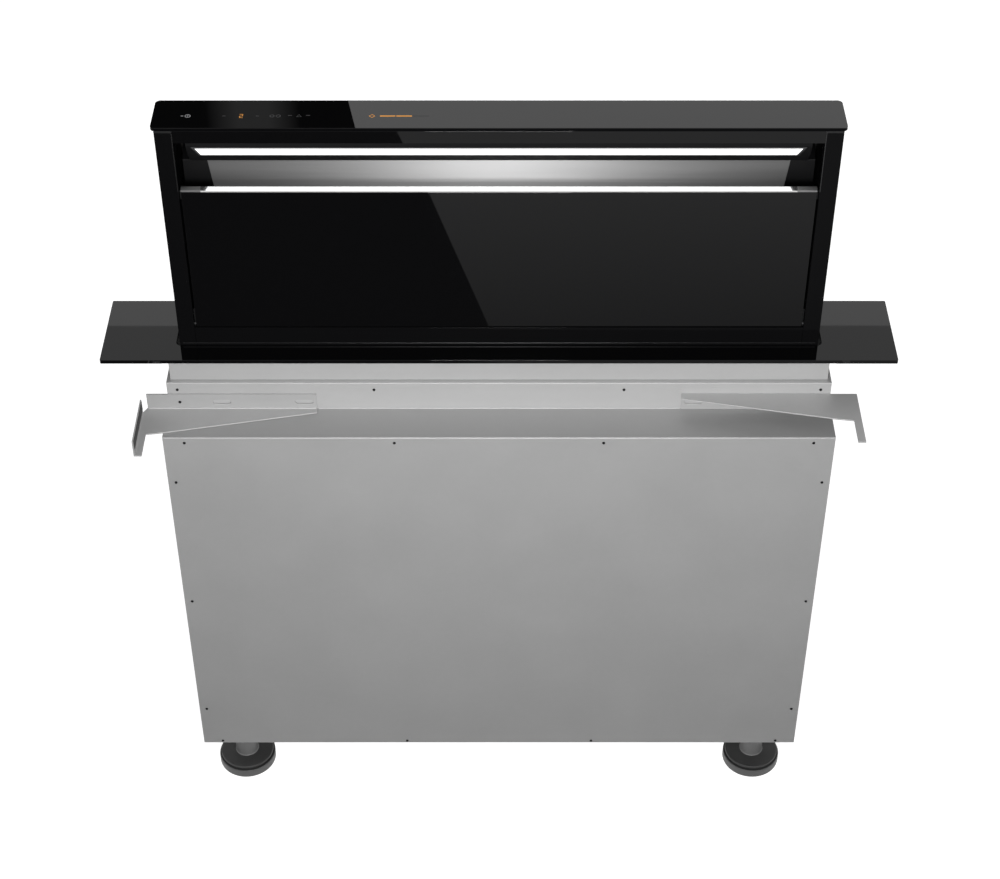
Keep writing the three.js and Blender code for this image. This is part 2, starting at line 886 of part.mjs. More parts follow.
const headerBack = towerFront + headerThickness;
const headerHalf = pillarInner - seat;
place(
  "cap_carrier",
  cut(
    block([-towerHalf, towerHalf], [towerFront, towerBackPlane], [carrierBottom, carrierTop]),
    block(
      [-headerHalf - seat, headerHalf + seat],
      [towerFront - seat, headerBack + seat],
      [carrierBottom - seat, carrierTop + seat],
    ),
  ),
  materials.blackSteel,
  tower,
);

const headerBottom = carrierTop - headerHeight;
place(
  "header_front",
  join(
    block([-headerHalf, headerHalf], [towerFront, headerBack], [headerBottom, carrierTop]),
    block(
      [-headerHalf, headerHalf],
      [towerFront, towerFront + headerLip],
      [headerBottom, headerBottom + towerWall],
    ),
  ),
  materials.blackGlass,
  tower,
);

const hingeHole = hingePinRadius + runningGap;
for (const [name, side] of sides) {
  const outer = [side * pillarInner, side * towerHalf];
  const inner = [side * (pillarInner + towerWall), side * (towerHalf - towerWall)];
  const post = cut(
    block(outer, [towerFront, towerBackPlane], [-towerTail, pillarTop]),
    block(
      inner,
      [towerFront + towerWall, towerBackPlane - towerWall],
      [-towerTail - towerWall, pillarTop + towerWall],
    ),
    turnedX(rod(hingeHole, -towerWall, 2 * towerWall))
      .scale(side, 1, 1)
      .translate(side * pillarInner, hingeY, hingeZ),
  );
  place(`pillar_${name}`, post, materials.blackSteel, tower);
}

place(
  "tower_back",
  block([-headerHalf, headerHalf], [towerBackPlane - towerWall, towerBackPlane], [-towerTail, pillarTop]),
  materials.blackSteel,
  tower,
);

place(
  "front_skirt",
  join(
    block([-headerHalf, headerHalf], [towerFront, towerFront + towerWall], [-towerTail, skirtHeight]),
    block(
      [-headerHalf, headerHalf],
      [towerFront, towerFront + shelfReach],
      [skirtHeight - towerWall, skirtHeight],
    ),
  ),
  materials.blackSteel,
  tower,
);

// ---------------------------------------------------------------- lamp

const lensLength = 2 * (pillarInner - lensEndGap);
const lensTopY = towerFront + lensSetback;
const lensTopZ = towerRise - lensDrop;
const lensDown = [Math.sin(lensTilt), -Math.cos(lensTilt)];
const lensInward = [Math.cos(lensTilt), Math.sin(lensTilt)];

// Point of the lamp's cross-section, from the lens's top edge: down along the lens's
// face, then into the housing.
function lampPoint(down, inward) {
  return [
    lensTopY + down * lensDown[0] + inward * lensInward[0],
    lensTopZ + down * lensDown[1] + inward * lensInward[1],
  ];
}

// Mitred bar of the lens's shape, grown all round, from front to back of its thickness.
function lensBar(grow, front, back) {
  const half = lensLength / 2 + grow;
  const bar = prismZ([
    [-half, grow],
    [half, grow],
    [half - lensMitre, -lensHeight - grow],
    [-half + lensMitre, -lensHeight - grow],
  ], [-back, -front]);
  return bar.rotateX(Math.PI / 2 + lensTilt).translate(0, lensTopY, lensTopZ);
}

place("light_lens", lensBar(0, 0, lensThickness), materials.lens, tower);

const lampHalf = lensLength / 2 + lampMargin;
const lampBack = lensTopY + lampDepth;
const lampTop = carrierBottom - seat;
const lampLow = lampPoint(lensHeight + lampRim, 0);
const lampOutline = [
  lampPoint(-lampRim, 0),
  lampLow,
  [lampLow[0] + lampHeel, lampLow[1]],
  [lampBack, lampTop - lampBackHeight],
  [lampBack, lampTop],
  [lampPoint(-lampRim, 0)[0], lampTop],
];
const lampRoom = [
  lampPoint(lampRim, 0),
  lampPoint(lensHeight - lampRim, 0),
  lampPoint(lensHeight - lampRim, lampWall * 2),
  [lampBack - lampWall, lampTop - lampBackHeight + lampWall],
  [lampBack - lampWall, lampTop - lampWall],
  [lampPoint(-lampRim, 0)[0] + lampWall, lampTop - lampWall],
  [lampPoint(-lampRim, 0)[0] + lampWall, lampPoint(lampRim, lampWall)[1]],
];
place(
  "light_housing",
  cut(
    prismX(lampOutline, [-lampHalf, lampHalf]),
    lensBar(seat, -seat, lensThickness + seat),
    prismX(lampRoom, [-lampHalf + 2 * lampMargin + lensMitre, lampHalf - 2 * lampMargin - lensMitre]),
  ),
  materials.blackPlastic,
  tower,
);

// ---------------------------------------------------------------- air guide and filters

const guideY = towerFront + guideSetback;
const guideTopZ = towerRise - guideTop;
const guideHalf = pillarInner - guideEndGap;
const guideBackY = towerBackPlane - towerWall - seat;
place(
  "deflector",
  prismX([
    [guideY, filterTop + guideBottom],
    [guideY + guideThickness, filterTop + guideBottom],
    [guideY + guideThickness, guideTopZ - guideThickness],
    [guideBackY, guideTopZ + guideRise - guideThickness],
    [guideBackY, guideTopZ + guideRise],
    [guideY, guideTopZ],
  ], [-guideHalf, guideHalf]),
  materials.stainless,
  tower,
);

const filterBackY = towerFront + filterBack;
const filterFrontY = filterBackY - filterThickness;
for (const [name, side] of sides) {
  const across = [side * filterMiddleGap / 2, side * (pillarInner - filterSideGap)];
  const meshAcross = [across[0] + side * filterRim, across[1] - side * filterRim];
  const meshLevels = [filterBottom + filterRim, filterTop - filterRim];
  const cassette = cut(
    block(across, [filterFrontY, filterBackY], [filterBottom, filterTop]),
    block(meshAcross, [filterFrontY - filterRecess, filterFrontY + filterRecess], meshLevels),
    block(meshAcross, [filterBackY - filterRecess, filterBackY + filterRecess], meshLevels),
  );
  place(`filter_${name}`, cassette, materials.filterMesh, tower);
}

// ---------------------------------------------------------------- tilting front panel

const glassBack = towerFront + glassThickness;
place(
  "panel_glass",
  prismX([
    [towerFront, glassBottom + glassBevel],
    [towerFront + glassBevel, glassBottom],
    [glassBack, glassBottom],
    [glassBack, glassTop],
    [towerFront, glassTop],
  ], [-panelHalf, panelHalf]),
  materials.blackGlass,
  panel,
);

const railBottom = glassTop + seat;
const railRise = railDepth * Math.tan(panelTilt);
const webFront = glassBack + seat;
place(
  "panel_rail",
  prismX([
    [towerFront, railBottom],
    [towerFront, railBottom + railFrontEdge],
    [towerFront + railDepth, railBottom + railFrontEdge + railRise],
    [towerFront + railDepth, railBottom - railWebDrop],
    [towerFront + railDepth - railWeb, railBottom - railWebDrop],
    [towerFront + railDepth - railWeb, railBottom],
  ], [-panelHalf, panelHalf]),
  materials.stainless,
  panel,
);

for (const [name, side] of sides) {
  const armStart = panelHalf + runningGap;
  const armEnd = armStart + hingeArm;
  const leaf = block(
    [side * (panelHalf - hingeLeafWidth), side * armEnd],
    [webFront, webFront + towerWall],
    [hingeZ, hingeZ + hingeLeafHeight],
  );
  const arm = block(
    [side * armStart, side * armEnd],
    [hingeY, webFront + towerWall],
    [hingeZ, hingeZ + hingeLeafHeight],
  );
  const disc = turnedX(rod(hingeDiscRadius, armStart, armEnd)).scale(side, 1, 1);
  const pin = turnedX(rod(hingePinRadius, armStart, armEnd + hingePinLength)).scale(side, 1, 1);
  const hinge = join(
    leaf,
    arm,
    disc.translate(0, hingeY, hingeZ),
    pin.translate(0, hingeY, hingeZ),
  );
  place(`panel_hinge_${name}`, hinge, materials.steel, panel);

  const catchFront = towerFront + railDepth + seat;
  const catchOuter = side * (pillarInner - seat);
  const panelCatch = block(
    [catchOuter, catchOuter - side * catchWidth],
    [catchFront, catchFront + catchDepth],
    [railBottom - railWebDrop, railBottom - railWebDrop + catchHeight],
  );
  place(`panel_catch_${name}`, panelCatch, materials.blackPlastic, tower);
}

// ---------------------------------------------------------------- telescopic rails

const railTop = -railTopDrop;
const outerRailLength = middleRailLength + towerTravel / 2;
const middleInner = innerRailHalf + runningGap;
const middleOuter = middleInner + railGauge;
const outerInner = middleOuter + runningGap;
const innerRailX = towerHalf + seat;
const innerRailEnd = innerRailX + innerRailReach;
const middleWebEnd = innerRailEnd + runningGap + railGauge;
const outerWebEnd = neckInner - seat;

// Rail of U section in [x, y]: a web with two legs, drawn out downwards.
function rail(side, web, legEnd, halfWidth, levels) {
  const webInner = web - Math.sign(web - legEnd) * railGauge;
  return join(
    block([side * web, side * webInner], [-halfWidth, halfWidth], levels),
    block([side * web, side * legEnd], [halfWidth - railGauge, halfWidth], levels),
    block([side * web, side * legEnd], [-halfWidth, railGauge - halfWidth], levels),
  );
}

for (const [name, side] of sides) {
  const inner = rail(side, innerRailX, innerRailEnd, innerRailHalf, [railTop - railLength, railTop]);
  place(`rail_inner_${name}`, inner, materials.steel, tower);

  const middle = rail(
    side,
    middleWebEnd,
    middleWebEnd - middleRailLeg,
    middleOuter,
    [railTop - middleRailLength, railTop],
  );
  place(`rail_middle_${name}`, middle, materials.steel, casing, [0, 0, plateTop]);

  const outer = rail(
    side,
    outerWebEnd,
    outerWebEnd - outerRailLeg,
    outerInner + railGauge,
    [railTop - outerRailLength, railTop],
  );
  place(`rail_outer_${name}`, outer, materials.steel, casing, [0, 0, plateTop]);
}

// ---------------------------------------------------------------- belt lift

const beltX = footX - stemHole - frameStemGap - frameLeg - frameInset - beltWidth / 2;
const beltY = casingFront + beltSetback;
const shaftZ = coverTop - gearboxHeight / 2;
const barTop = -towerTail - seat;
const barBottom = barTop - barHeight;
const idlerZ = plateTop + barBottom - towerTravel - pulleyRadius - beltLowMargin;
const beltInner = pulleyRadius + seat;
const beltOuter = beltInner + beltThickness;
const pulleyHalf = beltWidth / 2 + runningGap;
const rimHalf = pulleyHalf + pulleyFlange;
const rimRadius = pulleyRadius + pulleyFlangeReach;
const frameStart = beltX + beltWidth / 2 + frameInset;
const frameEnd = frameStart + frameLeg;

// Outline of a belt pulley from its bore, or from the axis if the bore is zero.
function pulleyProfile(bore, middle) {
  return [
    [bore, middle - rimHalf],
    [rimRadius, middle - rimHalf],
    [rimRadius, middle - pulleyHalf],
    [pulleyRadius, middle - pulleyHalf],
    [pulleyRadius, middle + pulleyHalf],
    [rimRadius, middle + pulleyHalf],
    [rimRadius, middle + rimHalf],
    [bore, middle + rimHalf],
  ];
}

function beltLoop(radius) {
  const shape = new THREE.Shape();
  shape.absarc(0, shaftZ, radius, 0, Math.PI, false);
  shape.absarc(0, idlerZ, radius, Math.PI, 2 * Math.PI, false);
  return shape.getPoints(smallSides / 2).map((point) => [beltY + point.x, point.y]);
}

place(
  "drive_shaft",
  join(
    turnedX(rod(shaftRadius, -frameEnd - shaftOverhang, frameEnd + shaftOverhang)),
    turnedX(pulleyProfile(0, -beltX)),
    turnedX(pulleyProfile(0, beltX)),
  ),
  materials.steel,
  casing,
  [0, beltY, shaftZ],
);

for (const [name, side] of sides) {
  const across = [side * beltX - beltWidth / 2, side * beltX + beltWidth / 2];
  const belt = cut(
    prismX(beltLoop(beltOuter), across),
    prismX(beltLoop(beltInner), [across[0] - seat, across[1] + seat]),
  );
  place(`belt_${name}`, belt, materials.rubber, casing);

  const bore = axleRadius + runningGap;
  const idler = [...pulleyProfile(bore, side * beltX), [bore, side * beltX - rimHalf]];
  place(`idler_pulley_${name}`, turnedX(idler), materials.blackPlastic, casing, [0, beltY, idlerZ]);

  const web = [side * (frameEnd - frameGauge), side * frameEnd];
  const leg = [side * frameStart, side * frameEnd];
  const levels = [panTop + seat, coverTop - sheet - seat];
  const front = beltY - frameDepth / 2;
  const back = beltY + frameDepth / 2;
  const axleEnd = beltX - rimHalf;
  const frame = cut(
    join(
      block(web, [front, back], levels),
      block(leg, [front, front + frameGauge], levels),
      block(leg, [back - frameGauge, back], levels),
      turnedX(rod(axleRadius, axleEnd, frameEnd - frameGauge / 2))
        .scale(side, 1, 1)
        .translate(0, beltY, idlerZ),
    ),
    turnedX(rod(shaftRadius + runningGap, -frameEnd - frameGauge, frameEnd + frameGauge))
      .translate(0, beltY, shaftZ),
  );
  place(`belt_frame_${name}`, frame, materials.galvanised, casing);
}

const gearboxOffset = beltX - gearboxInset;
const gearboxX = [gearboxOffset - gearboxWidth / 2, gearboxOffset + gearboxWidth / 2];
place(
  "lift_motor",
  cut(
    join(
      block(
        gearboxX,
        [-gearboxDepth / 2, gearboxDepth / 2],
        [-gearboxHeight / 2, gearboxHeight / 2],
      ),
      turnedZ(rod(liftMotorRadius, -gearboxHeight / 2 - liftMotorLength, 0)).translate(gearboxOffset, 0, 0),
    ),
    turnedX(rod(shaftRadius + runningGap, gearboxX[0] - seat, gearboxX[1] + seat)),
  ),
  materials.steel,
  casing,
  [0, beltY, shaftZ],
);

// Channel under the pillars, with an arm to each belt that ends in a clamp round it.
const beltBack = beltY + beltOuter;
const beltFace = beltY + beltInner;
const barHalf = barDepth / 2;
const barChannel = prismX([
  [-barHalf, barBottom],
  [-barHalf, barTop],
  [barHalf, barTop],
  [barHalf, barBottom],
  [barHalf - barGauge, barBottom],
  [barHalf - barGauge, barTop - barGauge],
  [barGauge - barHalf, barTop - barGauge],
  [barGauge - barHalf, barBottom],
], [-towerHalf, towerHalf]);
const clampLevels = [barBottom, barBottom + clampHeight];
const clampArms = sides.flatMap(([, side]) => {
  const cheekStart = side * (beltX + beltWidth / 2 + seat);
  const cheekEnd = cheekStart + side * clampCheek;
  const armStart = cheekEnd - side * clampWidth;
  const jawFront = beltFace - seat - clampJaw;
  return [
    block([armStart, cheekEnd], [beltBack + seat, -barHalf + barGauge], clampLevels),
    block([cheekStart, cheekEnd], [jawFront, beltBack + seat + clampJaw], clampLevels),
    block([armStart, cheekEnd], [jawFront, jawFront + clampJaw], clampLevels),
  ];
});
place("lift_crossbar", join(barChannel, ...clampArms), materials.blackSteel, tower);

export default unit;
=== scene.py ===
"""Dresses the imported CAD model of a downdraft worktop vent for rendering.

Everything is in the CAD model's frame: X to the right, Y away from the cook, Z up, with
the origin on the floor. Sizes are written in millimetres and turned to metres where a
mesh is made.
"""

import logging
import math
from collections.abc import Callable, Iterable, Sequence
from dataclasses import dataclass
from enum import Enum

import bpy
from mathutils import Euler, Matrix, Vector

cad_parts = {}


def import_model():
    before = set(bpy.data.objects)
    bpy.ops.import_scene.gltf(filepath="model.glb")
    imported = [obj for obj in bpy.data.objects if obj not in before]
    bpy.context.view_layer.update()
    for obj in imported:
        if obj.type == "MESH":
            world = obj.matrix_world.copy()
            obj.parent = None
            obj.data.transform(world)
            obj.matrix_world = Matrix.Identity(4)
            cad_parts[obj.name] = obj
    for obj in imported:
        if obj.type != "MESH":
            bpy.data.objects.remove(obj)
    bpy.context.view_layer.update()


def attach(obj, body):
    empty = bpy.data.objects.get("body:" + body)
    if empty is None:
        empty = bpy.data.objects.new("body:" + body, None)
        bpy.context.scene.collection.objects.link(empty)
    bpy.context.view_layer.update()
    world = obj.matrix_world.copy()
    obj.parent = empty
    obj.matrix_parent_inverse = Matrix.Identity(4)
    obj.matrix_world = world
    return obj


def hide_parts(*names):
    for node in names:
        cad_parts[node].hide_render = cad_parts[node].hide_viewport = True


log = logging.getLogger("downdraft_vent")

MM = 0.001

Place = tuple[float, float, float]
Span = tuple[float, float]
Box = tuple[Place, Place]


class Body(Enum):
    """The rigid bodies of the CAD model that pieces ride on."""

    CASING = "casing"
    TOWER = "tower"
    PANEL = "front_panel"
    IMPELLER = "impeller"
    DAMPER_LEFT = "damper_left"
    DAMPER_RIGHT = "damper_right"
    DRIVE_SHAFT = "drive_shaft"
    IDLER_LEFT = "idler_left"
    IDLER_RIGHT = "idler_right"
    SLIDE_LEFT = "slide_left"
    SLIDE_RIGHT = "slide_right"
    FOOT_FRONT_LEFT = "foot_front_left"
    FOOT_FRONT_RIGHT = "foot_front_right"
    FOOT_REAR_LEFT = "foot_rear_left"
    FOOT_REAR_RIGHT = "foot_rear_right"


class Axis(Enum):
    """The way that a piece made upright is turned to face."""

    BACK = (-math.pi / 2, 0.0, 0.0)
    FRONT = (math.pi / 2, 0.0, 0.0)


# ---------------------------------------------------------------- colours and nodes


def linear(code: str) -> tuple[float, float, float, float]:
    """Turns an sRGB hex colour to Blender's linear colour.

    Args:
        code: Six hex digits, such as "a9a9a8".

    Returns:
        Red, green, blue and an alpha of 1.
    """
    channels = [int(code[i : i + 2], 16) / 255 for i in (0, 2, 4)]
    red, green, blue = (
        c / 12.92 if c <= 0.04045 else ((c + 0.055) / 1.055) ** 2.4 for c in channels
    )
    return (red, green, blue, 1.0)


def add_node(
    tree: bpy.types.NodeTree,
    kind: str,
    settings: dict[str, object] | None = None,
    inputs: dict[str | int, object] | None = None,
) -> bpy.types.Node:
    """Adds a node with its settings and links.

    Args:
        tree: Node tree to add to.
        kind: Node type, without its ShaderNode prefix.
        settings: Attributes of the node.
        inputs: Values of its sockets, or the output sockets to link to them.

    Returns:
        The new node.
    """
    node = tree.nodes.new("ShaderNode" + kind)
    for name, value in (settings or {}).items():
        setattr(node, name, value)
    for name, value in (inputs or {}).items():
        if isinstance(value, bpy.types.NodeSocket):
            tree.links.new(value, node.inputs[name])
        else:
            node.inputs[name].default_value = value
    return node


def fresh_tree(owner: bpy.types.Material | bpy.types.World) -> bpy.types.NodeTree:
    """Empties the node tree of a new material or world.

    Args:
        owner: The new material or world.

    Returns:
        Its node tree.
    """
    owner.use_nodes = True
    owner.node_tree.nodes.clear()
    return owner.node_tree


# ---------------------------------------------------------------- finishes


@dataclass(frozen=True)
class Finish:
    """A real material, with what its nodes start from.

    Attributes:
        name: Common name of the material.
        slot: Material slot of the record that it stands for.
        colour: Hex colour.
        roughness: Microsurface roughness.
        metallic: 1 for bare metal.
    """

    name: str
    slot: str
    colour: str
    roughness: float
    metallic: float = 0.0

    def material(self) -> bpy.types.Material:
        """Returns the Blender material, made the first time that it is asked for."""
        known = bpy.data.materials.get(self.name)
        return known or self.make()

    def make(self) -> bpy.types.Material:
        """Makes the material's nodes.

        Returns:
            The new material.
        """
        material = bpy.data.materials.new(self.name)
        tree = fresh_tree(material)
        shader = add_node(
            tree,
            "BsdfPrincipled",
            inputs={
                "Base Color": linear(self.colour),
                "Roughness": self.roughness,
                "Metallic": self.metallic,
            },
        )
        add_node(tree, "OutputMaterial", inputs={"Surface": shader.outputs["BSDF"]})
        material.diffuse_color = linear(self.colour)
        material.roughness = self.roughness
        material.metallic = self.metallic
        self.detail(tree, shader)
        return material

    def detail(self, tree: bpy.types.NodeTree, shader: bpy.types.Node) -> None:
        """Adds what sets this material apart to its shader.

        Args:
            tree: Node tree of the material.
            shader: Its Principled BSDF.
        """
        raise NotImplementedError

    def weather(
        self,
        tree: bpy.types.NodeTree,
        shader: bpy.types.Node,
        *,
        scale: float = 1.0,
        detail: float = 2.0,
        grid: Place = (1.0, 1.0, 1.0),
        speckle: bpy.types.NodeSocket | None = None,
        relief: Span | None = None,
        gloss: Span | None = None,
        colours: tuple[str, str] | None = None,
        span: Span = (0.3, 0.7),
        target: str = "Base Color",
    ) -> None:
        """Lays a cloudy layer over the piece, which changes its relief, gloss or colour.

        Args:
            tree: Node tree of the material.
            shader: Its Principled BSDF.
            scale: Clouds to a metre of the grid.
            detail: Finer layers within the clouds.
            grid: Scale of the clouds along X, Y and Z.
            speckle: Pattern that is added to the clouds, at a fifth of its strength.
            relief: How much of the relief is felt, and its height in mm.
            gloss: What the roughness gains at the low and the high end.
            colours: Hex colours at the low and the high end.
            span: Part of the layer that the colours run over.
            target: Socket of the shader that takes the colours.
        """
        place = add_node(tree, "TexCoord")
        spread = add_node(
            tree, "Mapping", inputs={"Vector": place.outputs["Object"], "Scale": grid}
        )
        layer = add_node(
            tree,
            "TexNoise",
            inputs={"Vector": spread.outputs["Vector"], "Scale": scale, "Detail": detail},
        ).outputs["Fac"]
        if speckle is not None:
            layer = add_node(
                tree,
                "Math",
                {"operation": "MULTIPLY_ADD"},
                {0: speckle, 1: 0.2, 2: layer},
            ).outputs["Value"]
        if relief:
            strength, height = relief
            bump = add_node(
                tree,
                "Bump",
                inputs={"Height": layer, "Strength": strength, "Distance": height * MM},
            )
            tree.links.new(bump.outputs["Normal"], shader.inputs["Normal"])
        if gloss:
            low, high = (self.roughness + change for change in gloss)
            rough = add_node(
                tree, "MapRange", inputs={"Value": layer, "To Min": low, "To Max": high}
            )
            tree.links.new(rough.outputs["Result"], shader.inputs["Roughness"])
        if colours:
            ramp = add_node(tree, "ValToRGB", inputs={"Fac": layer})
            for element, code, stop in zip(ramp.color_ramp.elements, colours, span):
                element.color = linear(code)
                element.position = stop
            tree.links.new(ramp.outputs["Color"], shader.inputs[target])


@dataclass(frozen=True)
class FloatGlass(Finish):
    """Float glass, enamelled black behind: a mirror-like face over a black ground."""

    ior: float = 1.52
    roller_wave: float = 260.0  # mm between the long waves that tempering leaves

    def detail(self, tree: bpy.types.NodeTree, shader: bpy.types.Node) -> None:
        """Adds roller wave, and faint wiped-on streaks in the gloss."""
        shader.inputs["IOR"].default_value = self.ior
        across = 1000 / self.roller_wave
        wave = (across, across, across)
        self.weather(tree, shader, detail=1.0, grid=wave, relief=(0.1, 0.4))
        # Smears of about 40 mm by 8 mm, where a cloth has dulled the gloss a little.
        smear = (25.0, 60.0, 120.0)
        self.weather(tree, shader, detail=3.0, grid=smear, gloss=(0.0, 0.02))


@dataclass(frozen=True)
class PowderCoat(Finish):
    """Powder-coated steel: an even satin black with the skin's fine orange peel."""

    grain: float = 1.6  # mm between the dimples of the coat's skin
    light: str = "131314"
    ior: float = 1.5

    def detail(self, tree: bpy.types.NodeTree, shader: bpy.types.Node) -> None:
        """Adds orange peel and a slow drift in the colour."""
        shader.inputs["IOR"].default_value = self.ior
        self.weather(tree, shader, scale=1000 / self.grain, relief=(0.12, 0.1))
        self.weather(tree, shader, scale=6.0, colours=(self.colour, self.light))


@dataclass(frozen=True)
class GalvanisedSheet(Finish):
    """Hot-dip galvanised and skin-passed sheet: matt zinc with a barely seen spangle."""

    light: str = "b2b2b2"
    spangle: float = 7.0  # mm across one zinc crystal, pressed flat by the skin pass
    rolling: float = 1.1  # mm between rolling lines, drawn coarser than the real 0.2

    def detail(self, tree: bpy.types.NodeTree, shader: bpy.types.Node) -> None:
        """Adds the crystals, the rolling lines and a cloudy tone."""
        place = add_node(tree, "TexCoord")
        crystals = add_node(
            tree,
            "TexVoronoi",
            inputs={"Vector": place.outputs["Object"], "Scale": 1000 / self.spangle},
        )
        grey = add_node(tree, "RGBToBW", inputs={"Color": crystals.outputs["Color"]})
        self.weather(
            tree,
            shader,
            scale=9.0,
            detail=4.0,
            speckle=grey.outputs["Val"],
            gloss=(-0.04, 0.05),
            colours=(self.colour, self.light),
            span=(0.2, 1.0),
        )
        across = 1000 / self.rolling
        self.weather(tree, shader, grid=(4.0, across, across), relief=(0.1, 0.05))


@dataclass(frozen=True)
class BrushedStainless(Finish):
    """Stainless sheet brushed along its length: a streak of light stands across it."""

    grain: float = 0.9  # mm between brush lines, drawn coarser than the real 0.1
    streak: float = 0.93  # how far the light is drawn out across the lines

    def detail(self, tree: bpy.types.NodeTree, shader: bpy.types.Node) -> None:
        """Adds brush lines along X, and stretches the highlight across them."""
        shader.inputs["Anisotropic"].default_value = self.streak
        along = add_node(tree, "Tangent", {"direction_type": "RADIAL", "axis": "X"})
        tree.links.new(along.outputs["Tangent"], shader.inputs["Tangent"])
        across = 1000 / self.grain
        self.weather(
            tree,
            shader,
            detail=3.0,
            grid=(6.0, across, across),
            relief=(0.08, 0.05),
            gloss=(-0.05, 0.05),
        )


@dataclass(frozen=True)
class PolishedAluminium(Finish):
    """Bright-anodised aluminium extrusion: it mirrors the lamp above it."""

    def detail(self, tree: bpy.types.NodeTree, shader: bpy.types.Node) -> None:
        """Adds faint drawing lines along the extrusion."""
        self.weather(tree, shader, grid=(3.0, 900.0, 900.0), gloss=(0.0, 0.04))


@dataclass(frozen=True)
class LampDiffuser(Finish):
    """Opal acrylic lit from behind: an even white strip, a little duller at its rim."""

    strength: float = 3.0

    def detail(self, tree: bpy.types.NodeTree, shader: bpy.types.Node) -> None:
        """Makes the acrylic glow, with a slow ripple from the diodes behind it."""
        self.weather(
            tree,
            shader,
            grid=(12.0, 1.0, 1.0),
            colours=("fbfcff", "ffffff"),
            target="Emission Color",
        )
        shader.inputs["Emission Strength"].default_value = self.strength


@dataclass(frozen=True)
class MouldedPlastic(Finish):
    """Moulded polyamide: matt, with the spark-eroded grain of its mould."""

    grain: float = 1.2  # mm
    light: str = "2a2a2b"

    def detail(self, tree: bpy.types.NodeTree, shader: bpy.types.Node) -> None:
        """Adds the mould's grain, and a slightly paler tone where it has rubbed."""
        grain = 1000 / self.grain
        self.weather(tree, shader, scale=grain, detail=3.0, relief=(0.25, 0.15))
        tones = (self.colour, self.light)
        self.weather(tree, shader, scale=30.0, detail=5.0, colours=tones)


@dataclass(frozen=True)
class TurnedSteel(Finish):
    """Machined or zinc-plated steel: bright, with fine tool marks."""

    pitch: float = 0.8  # mm between tool marks, drawn coarser than the real 0.1

    def detail(self, tree: bpy.types.NodeTree, shader: bpy.types.Node) -> None:
        """Adds tool marks and a little tarnish."""
        self.weather(tree, shader, scale=1000 / self.pitch, relief=(0.15, 0.05))
        self.weather(tree, shader, scale=40.0, detail=4.0, gloss=(-0.08, 0.1))


@dataclass(frozen=True)
class ScreenInk(Finish):
    """Ceramic ink lit from below the glass: flat, even and slightly grainy."""

    strength: float = 0.0

    def detail(self, tree: bpy.types.NodeTree, shader: bpy.types.Node) -> None:
        """Adds the screen's dots to the ink, and its light."""
        self.weather(tree, shader, scale=1800.0, gloss=(0.0, 0.2))
        shader.inputs["Emission Color"].default_value = linear(self.colour)
        shader.inputs["Emission Strength"].default_value = self.strength


BLACK_GLASS = FloatGlass("enamelled float glass", "black_glass", "060607", 0.005)
GLASS_EDGE = FloatGlass("sealed glass edge", "black_glass", "040405", 0.3, ior=1.15)
BLACK_COAT = PowderCoat("black powder coat", "black_steel", "0c0c0d", 0.32)
MATT_COAT = PowderCoat(
    "matt black powder coat", "black_steel", "060607", 0.5, light="0a0a0b", ior=1.25
)
MATT_PAINT = PowderCoat(
    "matt black paint", "black_plastic", "060607", 0.5, light="0a0a0b", ior=1.25
)
BLACK_LACQUER = FloatGlass(
    "gloss black lacquer", "black_steel", "0d0d0e", 0.08, ior=1.18
)
ZINC_SHEET = GalvanisedSheet(
    "galvanised steel sheet", "galvanised_steel", "acacac", 0.5, 0.35
)
# A lighter copy of the zinc: painted light on the neck's front and on the collar.
ZINC_PAINTED_LIGHT = GalvanisedSheet(
    "galvanised steel sheet painted light", "galvanised_steel", "b7b7b7", 0.5, 0.35, light="bdbdbd"
)
# A darker copy of the zinc: painted shade on the ledge.
ZINC_PAINTED_SHADE = GalvanisedSheet(
    "galvanised steel sheet painted in shade", "galvanised_steel", "a0a0a0", 0.5, 0.35, light="a5a5a5"
)
BRACKET_ZINC = GalvanisedSheet(
    "galvanised bracket steel", "bracket_steel", "afafaf", 0.5, 0.35, light="b5b5b5"
)
STAINLESS = BrushedStainless(
    "brushed stainless steel", "stainless_steel", "707070", 0.37, 1.0
)
# A darker satin copy of the rail's aluminium: painted shade on its ends, where the lamp's
# reflection stops.
RAIL_ENDS_PAINTED_SHADE = TurnedSteel(
    "aluminium rail ends painted in shade", "stainless_steel", "9a9a9a", 0.38, 1.0
)
# A paler copy of the rail's aluminium: painted light on its faces that are not turned up.
RAIL_EDGE_PAINTED_LIGHT = TurnedSteel(
    "aluminium rail edge painted light", "stainless_steel", "cccccb", 0.5, 0.3
)
DARK_TRIM = PolishedAluminium(
    "dark anodised aluminium", "stainless_steel", "545455", 0.25, 1.0
)
BRIGHT_RAIL = PolishedAluminium(
    "bright anodised aluminium", "stainless_steel", "dcdcdc", 0.06, 1.0
)
LAMP_FACE = LampDiffuser("opal acrylic", "lamp_diffuser", "f4f4f2", 0.35, strength=0.95)
LAMP_RIM = MouldedPlastic(
    "grey acrylic rim", "lamp_diffuser", "3a3a3b", 0.4, light="444445"
)
BLACK_PLASTIC = MouldedPlastic(
    "black polyamide", "black_plastic", "0a0a0b", 0.62, light="111112"
)
FOOT_PLASTIC = MouldedPlastic(
    "grey glass-filled polyamide", "foot_plastic", "4b4b4b", 0.5, light="535353"
)
FOOT_DARK = MouldedPlastic(
    "dark glass-filled polyamide", "foot_plastic", "2b2b2b", 0.55, light="343434"
)
